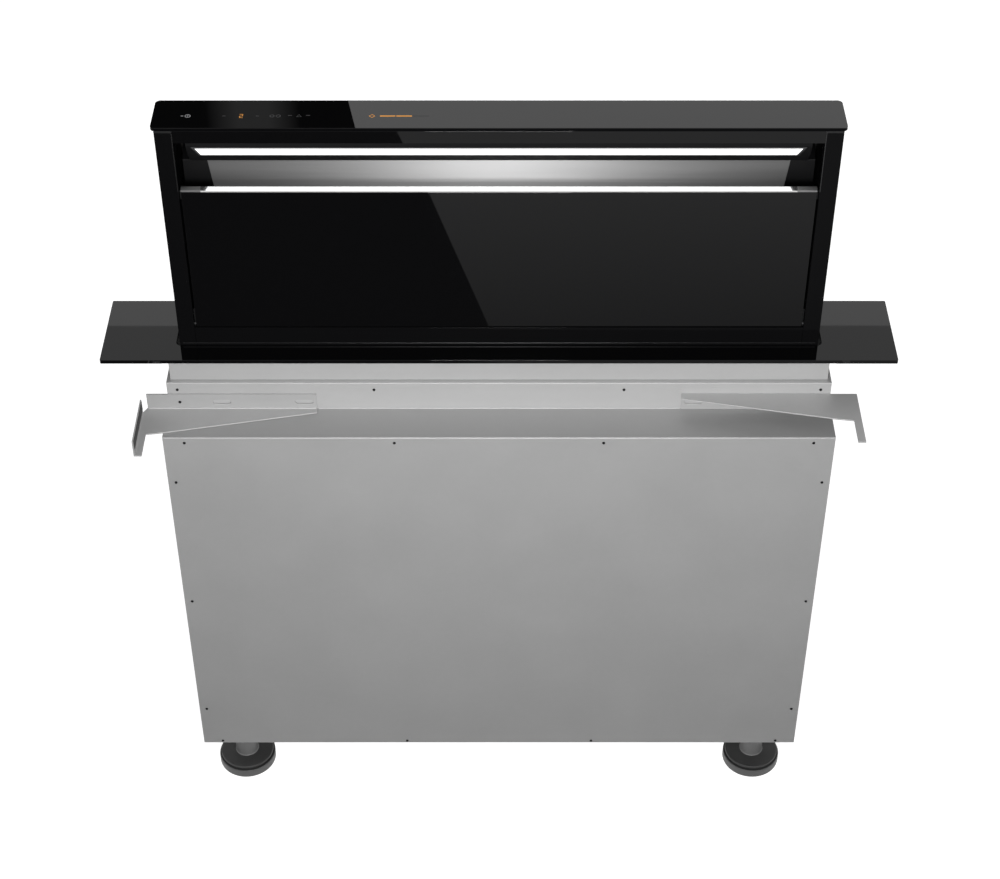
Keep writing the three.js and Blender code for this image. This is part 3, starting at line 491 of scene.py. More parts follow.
# A paler copy of the foot's plastic: painted light on the stem.
FOOT_STEM_PAINTED_LIGHT = MouldedPlastic(
    "glass-filled polyamide painted light", "foot_plastic", "707070", 0.5, light="7a7a7a"
)
FLANGE_STRIP_GREY = MouldedPlastic("dark grey flange strip", "rubber", "3a3a3a", 0.7, light="444444")
RUBBER = MouldedPlastic("black rubber", "rubber", "101010", 0.75, light="191919")
STEEL = TurnedSteel("zinc-plated steel", "machined_steel", "8f9194", 0.35, 1.0)
DARK_SCREW = TurnedSteel("black-oxide steel", "machined_steel", "262627", 0.45, 0.8)
FILTER_METAL = TurnedSteel("anodised aluminium", "filter_mesh", "a6a7a7", 0.35, 1.0)
WHITE_INK = ScreenInk("white screen ink", "black_glass", "8c8c8e", 0.4, strength=0.25)
FAINT_INK = ScreenInk("unlit screen ink", "black_glass", "1c1c1d", 0.4)
AMBER_INK = ScreenInk("amber screen ink", "black_glass", "d08c36", 0.4, strength=0.5)


# ---------------------------------------------------------------- modelling


FaceTest = Callable[[Vector, Vector], bool]
EdgeTest = Callable[[Vector, Vector], bool]
CLOSE = 0.01  # mm within which a point counts as lying on a line or a plane


def along(*lines: Span) -> EdgeTest:
    """Makes the test for edges that lie on one of some lines along X.

    Args:
        *lines: (y, z) of each line.

    Returns:
        The test, which both ends of an edge have to pass on the same line.
    """
    return lambda a, b: any(
        all(abs(p.y - y) < CLOSE and abs(p.z - z) < CLOSE for p in (a, b))
        for y, z in lines
    )


class Workpiece:
    """One object on the bench, shaped in millimetres."""

    def __init__(self, obj: bpy.types.Object) -> None:
        """Takes up an object.

        Args:
            obj: The Blender object to shape.
        """
        self.obj = obj

    @staticmethod
    def clear() -> None:
        """Leaves edit mode and deselects everything."""
        if bpy.context.object and bpy.context.object.mode != "OBJECT":
            bpy.ops.object.mode_set(mode="OBJECT")
        bpy.ops.object.select_all(action="DESELECT")

    @classmethod
    def _added(cls, name: str) -> "Workpiece":
        """Takes up the primitive that was just added, with its place in its mesh."""
        obj = bpy.context.object
        obj.name = obj.data.name = name
        piece = cls(obj)
        piece.settle()
        return piece

    @classmethod
    def block(cls, name: str, low: Place, high: Place) -> "Workpiece":
        """Adds a cube between two corners.

        Args:
            name: Name of the piece.
            low: Lowest corner.
            high: Highest corner.

        Returns:
            The new piece.
        """
        cls.clear()
        corners = Vector(low), Vector(high)
        bpy.ops.mesh.primitive_cube_add(
            size=1,
            location=(corners[0] + corners[1]) / 2 * MM,
            scale=(corners[1] - corners[0]) * MM,
        )
        return cls._added(name)

    @classmethod
    def turned(
        cls,
        name: str,
        profile: Sequence[Span],
        centre: Place = (0, 0, 0),
        sides: int = 64,
        ring: bool = False,
    ) -> "Workpiece":
        """Draws a disc out into an upright turned shape, step by step.

        Args:
            name: Name of the piece.
            profile: (radius, height) of each step.
            centre: Where radius 0, height 0 goes.
            sides: Sides of the circle.
            ring: Whether the profile closes on itself round a bore.

        Returns:
            The new piece.
        """
        cls.clear()
        radius, height = profile[0]
        bpy.ops.mesh.primitive_circle_add(
            vertices=sides,
            radius=radius * MM,
            fill_type="NOTHING" if ring else "NGON",
            location=(0, 0, height * MM),
        )
        piece = cls._added(name)
        bpy.ops.object.mode_set(mode="EDIT")
        bpy.ops.mesh.select_all(action="SELECT")
        for next_radius, next_height in [*profile[1:], *(profile[:1] if ring else [])]:
            bpy.ops.mesh.extrude_region_move(
                TRANSFORM_OT_translate={"value": (0, 0, (next_height - height) * MM)}
            )
            ratio = next_radius / radius
            bpy.ops.transform.resize(value=(ratio, ratio, 1), center_override=(0, 0, 0))
            radius, height = next_radius, next_height
        bpy.ops.mesh.select_all(action="SELECT")
        bpy.ops.mesh.remove_doubles(threshold=1e-6)
        bpy.ops.mesh.normals_make_consistent(inside=False)
        bpy.ops.object.mode_set(mode="OBJECT")
        return piece.move(centre)

    @classmethod
    def folded(
        cls,
        name: str,
        strip: Span,
        line: Sequence[Span],
        gauge: float,
        radius: float,
    ) -> "Workpiece":
        """Folds a strip of sheet along X.

        Args:
            name: Name of the piece.
            strip: Left and right end of the strip.
            line: (y, z) of the face, from its first edge over each fold to its last.
            gauge: Thickness, to the left of the line looking along -X.
            radius: Radius of the folds.

        Returns:
            The new piece.
        """
        cls.clear()
        (y0, z0), (y1, z1) = line[:2]
        bpy.ops.mesh.primitive_plane_add(size=2)
        piece = cls._added(name)
        corners = [(strip[0], y0, z0), (strip[1], y0, z0)]
        corners += [(strip[0], y1, z1), (strip[1], y1, z1)]
        for vertex, corner in zip(piece.obj.data.vertices, corners):
            vertex.co = Vector(corner) * MM
        for (y0, z0), (y1, z1) in zip(line[1:], line[2:]):
            piece.pick_edges(along((y0, z0)))
            bpy.ops.mesh.extrude_region_move(
                TRANSFORM_OT_translate={"value": (0, (y1 - y0) * MM, (z1 - z0) * MM)}
            )
            bpy.ops.object.mode_set(mode="OBJECT")
        piece.bevel(radius, 4, along(*line[1:-1]))
        return piece.modified("SOLIDIFY", thickness=gauge * MM, offset=-1)

    @classmethod
    def copy_of(cls, node: str, name: str | None = None) -> "Workpiece":
        """Takes a CAD node's mesh as the blank for a finer piece.

        Args:
            node: Name of the CAD node.
            name: Name of the piece, if not the node's with "_finish".

        Returns:
            The new piece, with its loose triangles merged to plane faces.
        """
        cls.clear()
        source = bpy.data.objects[node]
        obj = bpy.data.objects.new(name or f"{node}_finish", source.data.copy())
        obj.data.materials.clear()
        bpy.context.scene.collection.objects.link(obj)
        piece = cls(obj)
        piece.edit()
        bpy.ops.mesh.select_all(action="SELECT")
        bpy.ops.mesh.remove_doubles(threshold=1e-6)
        bpy.ops.mesh.dissolve_limited(angle_limit=math.radians(0.5))
        bpy.ops.object.mode_set(mode="OBJECT")
        return piece

    def hold(self) -> None:
        """Selects only this piece, and makes it the active one."""
        self.clear()
        self.obj.select_set(True)
        bpy.context.view_layer.objects.active = self.obj

    def edit(self) -> None:
        """Selects only this piece and goes into edit mode."""
        self.hold()
        bpy.ops.object.mode_set(mode="EDIT")

    def settle(self) -> "Workpiece":
        """Puts the piece's place, turn and scale into its mesh."""
        self.hold()
        bpy.ops.object.transform_apply(location=True, rotation=True, scale=True)
        return self

    def move(self, offset: Place) -> "Workpiece":
        """Moves the piece by an offset."""
        self.obj.location = Vector(offset) * MM
        return self.settle()

    def turn(self, angles: Place) -> "Workpiece":
        """Turns the piece about the origin by Euler angles in radians."""
        self.obj.rotation_euler = Euler(angles)
        return self.settle()

    def mirrored(self, name: str) -> "Workpiece":
        """Copies the piece to the other side of the middle plane.

        Args:
            name: Name of the copy.

        Returns:
            The copy, with its faces turned outwards again.
        """
        twin = self.copied(name)
        twin.obj.data.transform(Matrix.Scale(-1, 4, (1, 0, 0)))
        twin.obj.data.flip_normals()
        return twin

    def copied(self, name: str, offset: Place = (0, 0, 0)) -> "Workpiece":
        """Copies the piece, with its own mesh.

        Args:
            name: Name of the copy.
            offset: How far the copy is moved.

        Returns:
            The copy.
        """
        obj = self.obj.copy()
        obj.data = self.obj.data.copy()
        obj.name = obj.data.name = name
        bpy.context.scene.collection.objects.link(obj)
        return Workpiece(obj).move(offset)

    def joined(self, others: Iterable["Workpiece"]) -> "Workpiece":
        """Joins other pieces into this one."""
        self.hold()
        for other in others:
            other.obj.select_set(True)
        bpy.ops.object.join()
        return self

    def pick_faces(self, test: FaceTest) -> None:
        """Selects faces in edit mode.

        Args:
            test: Says from its middle, in mm, and its normal whether a face is wanted.
        """
        self.edit()
        bpy.ops.mesh.select_all(action="DESELECT")
        bpy.ops.mesh.select_mode(type="FACE")
        bpy.ops.object.mode_set(mode="OBJECT")
        for face in self.obj.data.polygons:
            face.select = test(face.center / MM, face.normal)
        bpy.ops.object.mode_set(mode="EDIT")

    def pick_edges(self, test: EdgeTest) -> None:
        """Selects edges in edit mode.

        Args:
            test: Says from its two ends, in mm, whether an edge is wanted.
        """
        self.edit()
        bpy.ops.mesh.select_all(action="DESELECT")
        bpy.ops.mesh.select_mode(type="EDGE")
        bpy.ops.object.mode_set(mode="OBJECT")
        points = [vertex.co / MM for vertex in self.obj.data.vertices]
        for edge in self.obj.data.edges:
            edge.select = test(points[edge.vertices[0]], points[edge.vertices[1]])
        bpy.ops.object.mode_set(mode="EDIT")

    def extrude(self, test: FaceTest, offset: Place) -> "Workpiece":
        """Draws the picked faces out by an offset."""
        self.pick_faces(test)
        bpy.ops.mesh.extrude_region_move(
            TRANSFORM_OT_translate={"value": Vector(offset) * MM}
        )
        bpy.ops.object.mode_set(mode="OBJECT")
        return self

    def inset(self, test: FaceTest, width: float) -> "Workpiece":
        """Insets the picked faces by a width."""
        self.pick_faces(test)
        bpy.ops.mesh.inset(thickness=width * MM, depth=0.0)
        bpy.ops.object.mode_set(mode="OBJECT")
        return self

    def slice(self, level: Place, normal: Place, trim: bool = False) -> "Workpiece":
        """Divides every face at a plane.

        Args:
            level: A point on the plane.
            normal: Normal of the plane.
            trim: Whether what is beyond the plane is cut off.

        Returns:
            This piece.
        """
        self.edit()
        bpy.ops.mesh.select_all(action="SELECT")
        bpy.ops.mesh.bisect(
            plane_co=Vector(level) * MM, plane_no=normal, clear_outer=trim
        )
        bpy.ops.object.mode_set(mode="OBJECT")
        return self

    def bevel(
        self, width: float, segments: int = 2, test: EdgeTest | None = None
    ) -> "Workpiece":
        """Rounds edges.

        Args:
            width: Width of the rounding.
            segments: Faces across it.
            test: Picks the edges; without it, every edge sharper than 35 degrees.

        Returns:
            This piece.
        """
        if test is None:
            return self.modified(
                "BEVEL",
                width=width * MM,
                segments=segments,
                limit_method="ANGLE",
                angle_limit=math.radians(35),
                miter_outer="MITER_ARC",
            )
        self.pick_edges(test)
        bpy.ops.mesh.bevel(offset=width * MM, segments=segments, clamp_overlap=True)
        bpy.ops.object.mode_set(mode="OBJECT")
        return self

    def modified(self, kind: str, **settings: object) -> "Workpiece":
        """Adds a modifier and applies it.

        Args:
            kind: Type of the modifier.
            **settings: Its attributes.

        Returns:
            This piece.
        """
        self.hold()
        modifier = self.obj.modifiers.new(kind.lower(), kind)
        for name, value in settings.items():
            setattr(modifier, name, value)
        bpy.ops.object.modifier_apply(modifier=modifier.name)
        return self

    def cut(self, *tools: "Workpiece") -> "Workpiece":
        """Cuts the tools out of this piece, and throws them away."""
        for tool in tools:
            self.modified(
                "BOOLEAN", object=tool.obj, operation="DIFFERENCE", solver="EXACT"
            )
            bpy.data.objects.remove(tool.obj)
        return self

    def dress(self, *finishes: Finish) -> "Workpiece":
        """Gives the piece its finishes, in the order of its material slots."""
        self.obj.data.materials.clear()
        for finish in finishes:
            self.obj.data.materials.append(finish.material())
        return self

    def paint(self, slot: int, test: FaceTest) -> "Workpiece":
        """Gives the picked faces the finish in that slot."""
        for face in self.obj.data.polygons:
            if test(face.center / MM, face.normal):
                face.material_index = slot
        return self

    def fit(self, body: Body, *nodes: str, angle: float = 35.0) -> "Workpiece":
        """Smooths the piece and hangs it on its body.

        Args:
            body: The rigid body that it rides on.
            *nodes: CAD nodes that it stands for.
            angle: Edges sharper than this stay sharp, in degrees.

        Returns:
            This piece.
        """
        self.hold()
        bpy.ops.object.shade_smooth_by_angle(angle=math.radians(angle))
        # Flat faces keep their own normal, so that the gloss on them stays flat.
        self.modified("WEIGHTED_NORMAL", mode="FACE_AREA", weight=100, keep_sharp=True)
        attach(self.obj, body.value)
        if nodes:
            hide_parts(*nodes)
        log.info("%s: %d faces", self.obj.name, len(self.obj.data.polygons))
        return self


def refine(
    node: str, body: Body, finish: Finish, width: float, segments: int = 2
) -> Workpiece:
    """Stands a finer copy in for a CAD node: merged, with its edges eased.

    Args:
        node: Name of the CAD node.
        body: Body that it rides on.
        finish: What it is made of.
        width: How far its edges are eased.
        segments: Faces across an eased edge.

    Returns:
        The finer piece.
    """
    piece = Workpiece.copy_of(node)
    if width:
        piece.bevel(width, segments)
    return piece.dress(finish).fit(body, node)


def slot_cutter(centre: Place, length: float, width: float, reach: float) -> Workpiece:
    """Makes the tool that cuts a round-ended slot through a sheet facing the front.

    Args:
        centre: Middle of the slot.
        length: Length along X, over its ends.
        width: Width along Z.
        reach: How far the tool reaches either way along Y.

    Returns:
        The cutting tool.
    """
    x, y, z = centre
    tool = Workpiece.block(
        "slot_cutter",
        (x - length / 2, y - reach, z - width / 2),
        (x + length / 2, y + reach, z + width / 2),
    )
    return tool.bevel(width * 0.49, 5, lambda a, b: abs(a.y - b.y) > reach)


def lipped_sheet(
    name: str, half: float, front: float, levels: Span, gauge: float, flange: float
) -> Workpiece:
    """Makes an upright sheet with a lip folded back at its top.

    Args:
        name: Name of the piece.
        half: Half of its width.
        front: Plane of its front face.
        levels: Its bottom and top.
        gauge: Its thickness.
        flange: Depth of the lip.

    Returns:
        The sheet, with its edges still sharp.
    """
    low, high = levels
    fold = high - gauge
    piece = Workpiece.block(name, (-half, front, low), (half, front + gauge, high))
    piece.slice((0, 0, fold), (0, 0, 1))
    return piece.extrude(lambda c, n: n.y > 0.9 and c.z > fold, (0, flange - gauge, 0))


# ---------------------------------------------------------------- screws


@dataclass
class PanHeadScrew:
    """Small self-tapping screw with a cross recess, as its head shows."""

    radius: float = 2.1
    height: float = 1.2
    recess: float = 0.55
    recess_width: float = 0.7

    def blank(self) -> Workpiece:
        """Returns one screw head, standing on the origin and facing up."""
        head = Workpiece.turned(
            "screw_blank",
            [
                (self.radius, 0),
                (self.radius, self.height * 0.4),
                (self.radius * 0.9, self.height * 0.8),
                (self.radius * 0.62, self.height),
            ],
            sides=20,
        )
        reach, depth = self.radius * 0.62, self.height - self.recess
        half = self.recess_width / 2
        bars = [
            Workpiece.block("bar", (-reach, -half, depth), (reach, half, self.height + 1)),
            Workpiece.block("bar", (-half, -reach, depth), (half, reach, self.height + 1)),
        ]
        return head.cut(*bars)

    def row(
        self, name: str, places: Sequence[Place], axis: Axis, body: Body
    ) -> Workpiece:
        """Sets one screw in each place.

        Args:
            name: Name of the set.
            places: Where each head stands on its sheet.
            axis: Direction that the heads face.
            body: Body that they ride on.

        Returns:
            The set of screws.
        """
        first = self.blank().turn(axis.value)
        copies = [first.copied(f"screw_{i}", place) for i, place in enumerate(places[1:])]
        first.obj.name = first.obj.data.name = name
        return first.move(places[0]).joined(copies).dress(DARK_SCREW).fit(body)


# ---------------------------------------------------------------- sub-assemblies


@dataclass
class Casing:
    """The sheet-steel box under the worktop, and the neck that carries the collar."""

    half: float = 464.3
    neck_half: float = 461.4
    front: float = -96.9
    back: float = 102.1
    neck_front: float = -34.9
    bottom: float = 90.0
    cover_top: float = 724.5
    top: float = 726.0
    neck_top: float = 772.0
    sheet: float = 1.2
    flange: float = 12.0
    bend: float = 1.1
    seam_ends: Span = (-252.5, 253.0)
    seam_reach: float = 1.0
    rim_columns: tuple[float, ...] = (-434.6, -144.6, 144.6, 434.6)
    rim_levels: Span = (715.8, 94.8)
    side_columns: Span = (-453.3, 453.3)
    side_levels: tuple[float, ...] = (642.5, 405.8, 169.2)
    neck_columns: tuple[float, ...] = (-447.0, -173.7, 173.7, 447.0)
    neck_screw_level: float = 760.0

    def front_sheet(
        self, name: str, half: float, front: float, levels: Span
    ) -> Workpiece:
        """Makes a lipped sheet of the casing's front.

        Args:
            name: Name of the piece.
            half: Half of its width.
            front: Plane of its front face.
            levels: Its bottom and top.

        Returns:
            The sheet, with its bend and its outer edges rounded.
        """
        piece = lipped_sheet(name, half, front, levels, self.sheet, self.flange)
        low, high = levels
        piece.bevel(self.bend, 5, along((front, high)))
        bottom = along((front, low))
        return piece.bevel(
            0.3,
            2,
            lambda a, b: bottom(a, b)
            or all(
                abs(abs(p.x) - half) < CLOSE and p.y < front + CLOSE for p in (a, b)
            ),
        )

    def cover(self) -> None:
        """Makes the front cover."""
        sheet = self.front_sheet(
            "front_cover_sheet", self.half, self.front, (self.bottom, self.cover_top)
        )
        sheet.dress(ZINC_SHEET).fit(Body.CASING, "front_cover")

    def neck(self) -> None:
        """Makes the front of the neck."""
        sheet = self.front_sheet(
            "neck_front_sheet", self.neck_half, self.neck_front, (self.top, self.neck_top)
        )
        # The front takes a lighter copy of the zinc, painted light; faces turned up keep the
        # plain zinc.
        sheet.dress(ZINC_PAINTED_LIGHT, ZINC_SHEET).paint(1, lambda c, n: n.z > 0.3)
        sheet.fit(Body.CASING, "upper_housing_front")

    def ledge(self) -> None:
        """Makes the ledge between cover and neck."""
        piece = Workpiece.block(
            "ledge_sheet",
            (-self.half, self.front, self.top - self.sheet),
            (self.half, self.neck_front - 0.3, self.top),
        )
        piece.bevel(0.6, 3, along((self.front, self.top)))
        # The ledge takes the darker copy of the zinc: painted shade.
        piece.dress(ZINC_PAINTED_SHADE).fit(Body.CASING, "ledge_panel")

    def seam(self) -> None:
        """Makes the ledge's upstand, whose bend shows as a bright line below the neck."""
        left, right = self.seam_ends
        front, top = self.neck_front - self.seam_reach, self.top + self.seam_reach
        piece = Workpiece.block(
            "neck_seam", (left, front, self.top), (right, self.neck_front - 0.05, top)
        )
        piece.bevel(self.seam_reach * 0.8, 4, along((front, top)))
        piece.dress(ZINC_SHEET).fit(Body.CASING)

    def rest(self) -> None:
        """Finishes the side panels, rear panel and pan."""
        for node in ("side_panel_left", "side_panel_right", "rear_panel", "bottom_pan"):
            refine(node, Body.CASING, ZINC_SHEET, 0.35)

    def screws(self) -> None:
        """Sets the screws that the photo shows, and their like on the other sides."""
        rim = [(x, z) for z in self.rim_levels for x in self.rim_columns]
        rim += [(x, z) for x in self.side_columns for z in self.side_levels]
        neck = [(x, self.neck_screw_level) for x in self.neck_columns]
        for name, y, spots, axis in (
            ("front_cover_screws", self.front, rim, Axis.FRONT),
            ("neck_screws", self.neck_front, neck, Axis.FRONT),
            ("rear_panel_screws", self.back, rim + neck, Axis.BACK),
        ):
            places = [(x, y, z) for x, z in spots]
            PanHeadScrew().row(name, places, axis, Body.CASING)

    def build(self) -> None:
        """Builds the casing."""
        self.cover()
        self.neck()
        self.ledge()
        self.seam()
        self.rest()
        self.screws()


@dataclass
class WorktopPlate:
    """The black glass plate that closes the worktop, its seal and the collar below."""

    collar_half: float = 456.0
    collar_front: float = -28.15
    collar_back: float = 95.35
    collar_low: float = 772.3
    collar_high: float = 805.5
    sheet: float = 1.2
    flange: float = 14.0

    def plate(self) -> None:
        """Finishes the glass plate and its seal."""
        refine("worktop_plate", Body.CASING, BLACK_GLASS, 0.25, 2)
        refine("slot_seal", Body.CASING, RUBBER, 0.5, 2)

    def collar(self) -> None:
        """Makes the collar's front and rear, and finishes its ends."""
        front = lipped_sheet(
            "collar_front_sheet",
            self.collar_half,
            self.collar_front,
            (self.collar_low, self.collar_high),
            self.sheet,
            self.flange,
        )
        front.bevel(0.5, 3, along((self.collar_front, self.collar_low)))
        front.bevel(0.9, 3, along((self.collar_front, self.collar_high)))
        rear = front.copied("collar_rear_sheet")
        rear.obj.data.transform(Matrix.Scale(-1, 4, (0, 1, 0)))
        rear.obj.data.flip_normals()
        rear.move((0, self.collar_back + self.collar_front, 0))
        # The collar takes the lighter copy of the zinc: painted light.
        front.dress(ZINC_PAINTED_LIGHT).fit(Body.CASING, "collar_front")
        rear.dress(ZINC_PAINTED_LIGHT).fit(Body.CASING, "collar_rear")
        for node in ("collar_end_left", "collar_end_right"):
            refine(node, Body.CASING, ZINC_PAINTED_LIGHT, 0.35)

    def build(self) -> None:
        """Builds the plate and collar."""
        self.plate()
        self.collar()


@dataclass
class MountingBrackets:
    """The pair of cabinet brackets, the right one turned over with a flat end."""

    strip_front: float = -37.2
    left_level: float = 739.7
    slot_centres: tuple[float, ...] = (-386.5, -271.5)
    slot_length: float = 25.0
    slot_width: float = 7.5
    slot_reach: float = 6.0
    screw_x: float = -445.0
    bend_box: Box = ((-489.0, -38.6, 728.2), (-256.0, -37.1, 729.7))
    strip_box: Box = ((-496.05, -135.4, 737.7), (-495.25, -51.2, 752.1))

    def bracket(self, end: str, side: int) -> None:
        """Makes one bracket, with its slots.

        Args:
            end: Which one, "left" or "right".
            side: 1 for the left one, -1 where the slots are mirrored.
        """
        piece = Workpiece.copy_of(f"mounting_bracket_{end}", f"bracket_{end}")
        for x in self.slot_centres:
            centre = (side * x, self.strip_front, self.left_level)
            piece.cut(
                slot_cutter(centre, self.slot_length, self.slot_width, self.slot_reach)
            )
        piece.bevel(0.45, 2).dress(BRACKET_ZINC)
        piece.fit(Body.CASING, f"mounting_bracket_{end}")

    def build(self) -> None:
        """Builds the brackets, the left one's bend, a dark strip on its end flange, and their
        screws.
        """
        self.bracket("left", 1)
        self.bracket("right", -1)
        bend = Workpiece.block("bracket_left_bend", *self.bend_box)
        bend.bevel(1.2, 4, along((self.bend_box[0][1], self.bend_box[1][2])))
        bend.dress(BRACKET_ZINC).fit(Body.CASING)
        # A thin dark grey strip laid on the inner face of the left bracket's end flange.
        dark_strip = Workpiece.block("bracket_pad", *self.strip_box)
        dark_strip.bevel(0.3, 2).dress(FLANGE_STRIP_GREY).fit(Body.CASING)
        places = [
            (x, self.strip_front, self.left_level) for x in (self.screw_x, -self.screw_x)
        ]
        PanHeadScrew().row("bracket_screws", places, Axis.FRONT, Body.CASING)


@dataclass
class LevellingFoot:
    """Screw-down foot: a two-part disc on a thick stem."""

    x: float
    y: float
    body: Body
    ring: float = 44.6
    upper: float = 41.8
    groove: float = 40.4
    stem: float = 17.5
    ring_height: float = 16.0
    groove_height: float = 3.2
    base_height: float = 23.0
    top: float = 122.0

    def build(self) -> None:
        """Builds the foot."""
        name = self.body.value
        low, high = self.ring_height, self.base_height
        gap = low + self.groove_height
        foot = Workpiece.turned(
            f"{name}_turned",
            [
                (self.ring - 2, 0),
                (self.ring, 2),
                (self.ring, low - 1),
                (self.ring - 1, low),
                (self.groove, low),
                (self.groove, gap),
                (self.upper, gap),
                (self.upper, high - 1),
                (self.upper - 1, high),
                (self.stem + 1, high),
                (self.stem, high + 1),
                (self.stem, self.top - 1),
                (self.stem - 1, self.top),
            ],
            (self.x, self.y, 0),
            sides=96,
        )
        foot.bevel(0.6, 2)
        foot.dress(FOOT_PLASTIC, FOOT_DARK, RUBBER, FOOT_STEM_PAINTED_LIGHT)
        foot.paint(1, lambda c, n: low - 0.1 < c.z < high + 0.1)
        # The groove and the ring's top face take black rubber: painted shade for the shadow
        # gap between the two parts of the disc.
        foot.paint(2, lambda c, n: low - 0.1 < c.z < gap + 0.1)
        # The stem is painted paler than the disc: painted light against the shade under the
        # casing.
        foot.paint(3, lambda c, n: c.z > high + 0.1)
        foot.fit(self.body, name)


@dataclass
class Lamp:
    """The lit strip under the tower's head."""

    length: float = 796.0
    height: float = 19.6
    mitre: float = 9.0
    thickness: float = 3.0
    tilt: float = math.radians(25.6)
    top_y: float = 7.7
    top_z: float = 1130.2
    rim: float = 0.8
    top_rim: float = 3.4
    top_end_rim: float = 4.6
    low_end_rim: float = 2.6
    lip: float = 13.0

    def lens(self) -> None:
        """Makes the mitred acrylic strip with its rim."""
        half = self.length / 2
        lens = Workpiece.block(
            "lamp_lens", (-half, -self.height, -self.thickness), (half, 0, 0)
        )
        mesh = lens.obj.data
        for vertex in mesh.vertices:
            if vertex.co.y < -self.height / 2 * MM:
                vertex.co.x -= math.copysign(self.mitre * MM, vertex.co.x)
        lens.inset(lambda c, n: n.z > 0.9, self.rim)
        for vertex in mesh.vertices:
            level = vertex.co.y / MM
            if vertex.co.z < -0.0001 or not 0.1 - self.height < level < -0.1:
                continue
            upper = level > -self.height / 2
            end = self.top_end_rim if upper else self.low_end_rim
            vertex.co.x -= math.copysign((end - self.rim) * MM, vertex.co.x)
            if upper:
                vertex.co.y = -self.top_rim * MM
        lens.dress(LAMP_FACE, LAMP_RIM)
        lens.paint(
            1,
            lambda c, n: n.z < 0.9
            or abs(c.x) > 1
            or not 2 - self.height <= c.y <= -2,
        )
        lens.turn((math.pi / 2 + self.tilt, 0, 0)).move((0, self.top_y, self.top_z))
        lens.fit(Body.TOWER, "light_lens")

    def shade(self) -> None:
        """Makes the housing's lower lip: painted shade, a dark band below the lens, which
        also hides the lens's edge from the front.
        """
        half = self.length / 2 + 5
        lip = Workpiece.block(
            "lamp_lip",
            (-half, -self.height - self.lip, -1.6),
            (half, -self.height - 0.3, -0.2),
        )
        lip.bevel(0.4, 2)
        lip.turn((math.pi / 2 + self.tilt, 0, 0)).move((0, self.top_y, self.top_z))
        lip.dress(MATT_COAT).fit(Body.TOWER)

    def build(self) -> None:
        """Builds the lamp."""
        self.lens()
        self.shade()
        refine("light_housing", Body.TOWER, MATT_PAINT, 0.3)


@dataclass
class AirGuide:
    """The stainless deflector behind the opening, and the grease filters below it."""

    half: float = 414.0
    face_y: float = 31.75
    foot_z: float = 1051.0
    back_y: float = 65.3
    back_z: float = 1111.5
    gauge: float = 1.0
    fold_z: float = 1095.2
    fold: float = 0.8
    cheek: float = 38.0
    slant: float = 8.0

    def line(self, lift: float = 0.0) -> list[Span]:
        """Returns the guide's section, from its foot over its fold to its back."""
        return [
            (self.face_y - lift, self.foot_z),
            (self.face_y - lift, self.fold_z + lift),
            (self.back_y - lift, self.back_z + lift),
        ]

    def deflector(self) -> None:
        """Folds the deflector."""
        sheet = Workpiece.folded(
            "deflector_sheet",
            (-self.half, self.half),
            self.line(),
            self.gauge,
            self.fold,
        )
        sheet.dress(STAINLESS).fit(Body.TOWER, "deflector", angle=50)

    def cheeks(self) -> None:
        """Folds the black end cheeks that lap over the deflector's ends."""
        lift = 0.8
        cheek = Workpiece.folded(
            "guide_cheek_left",
            (-self.half, -self.half + self.cheek),
            self.line(lift),
            lift * 0.8,
            self.fold,
        )
        for vertex in cheek.obj.data.vertices:
            if vertex.co.x > (-self.half + 1) * MM:
                rise = (vertex.co.z / MM - self.foot_z) / (self.back_z - self.foot_z)
                vertex.co.x -= self.slant * rise * MM
        twin = cheek.mirrored("guide_cheek_right")
        for piece in (cheek, twin):
            piece.dress(MATT_COAT).fit(Body.TOWER, angle=50)

    def build(self) -> None:
        """Builds the air guide and its filters."""
        self.deflector()
        self.cheeks()
        GreaseFilter("filter_left", -1).build()
        GreaseFilter("filter_right", 1).build()


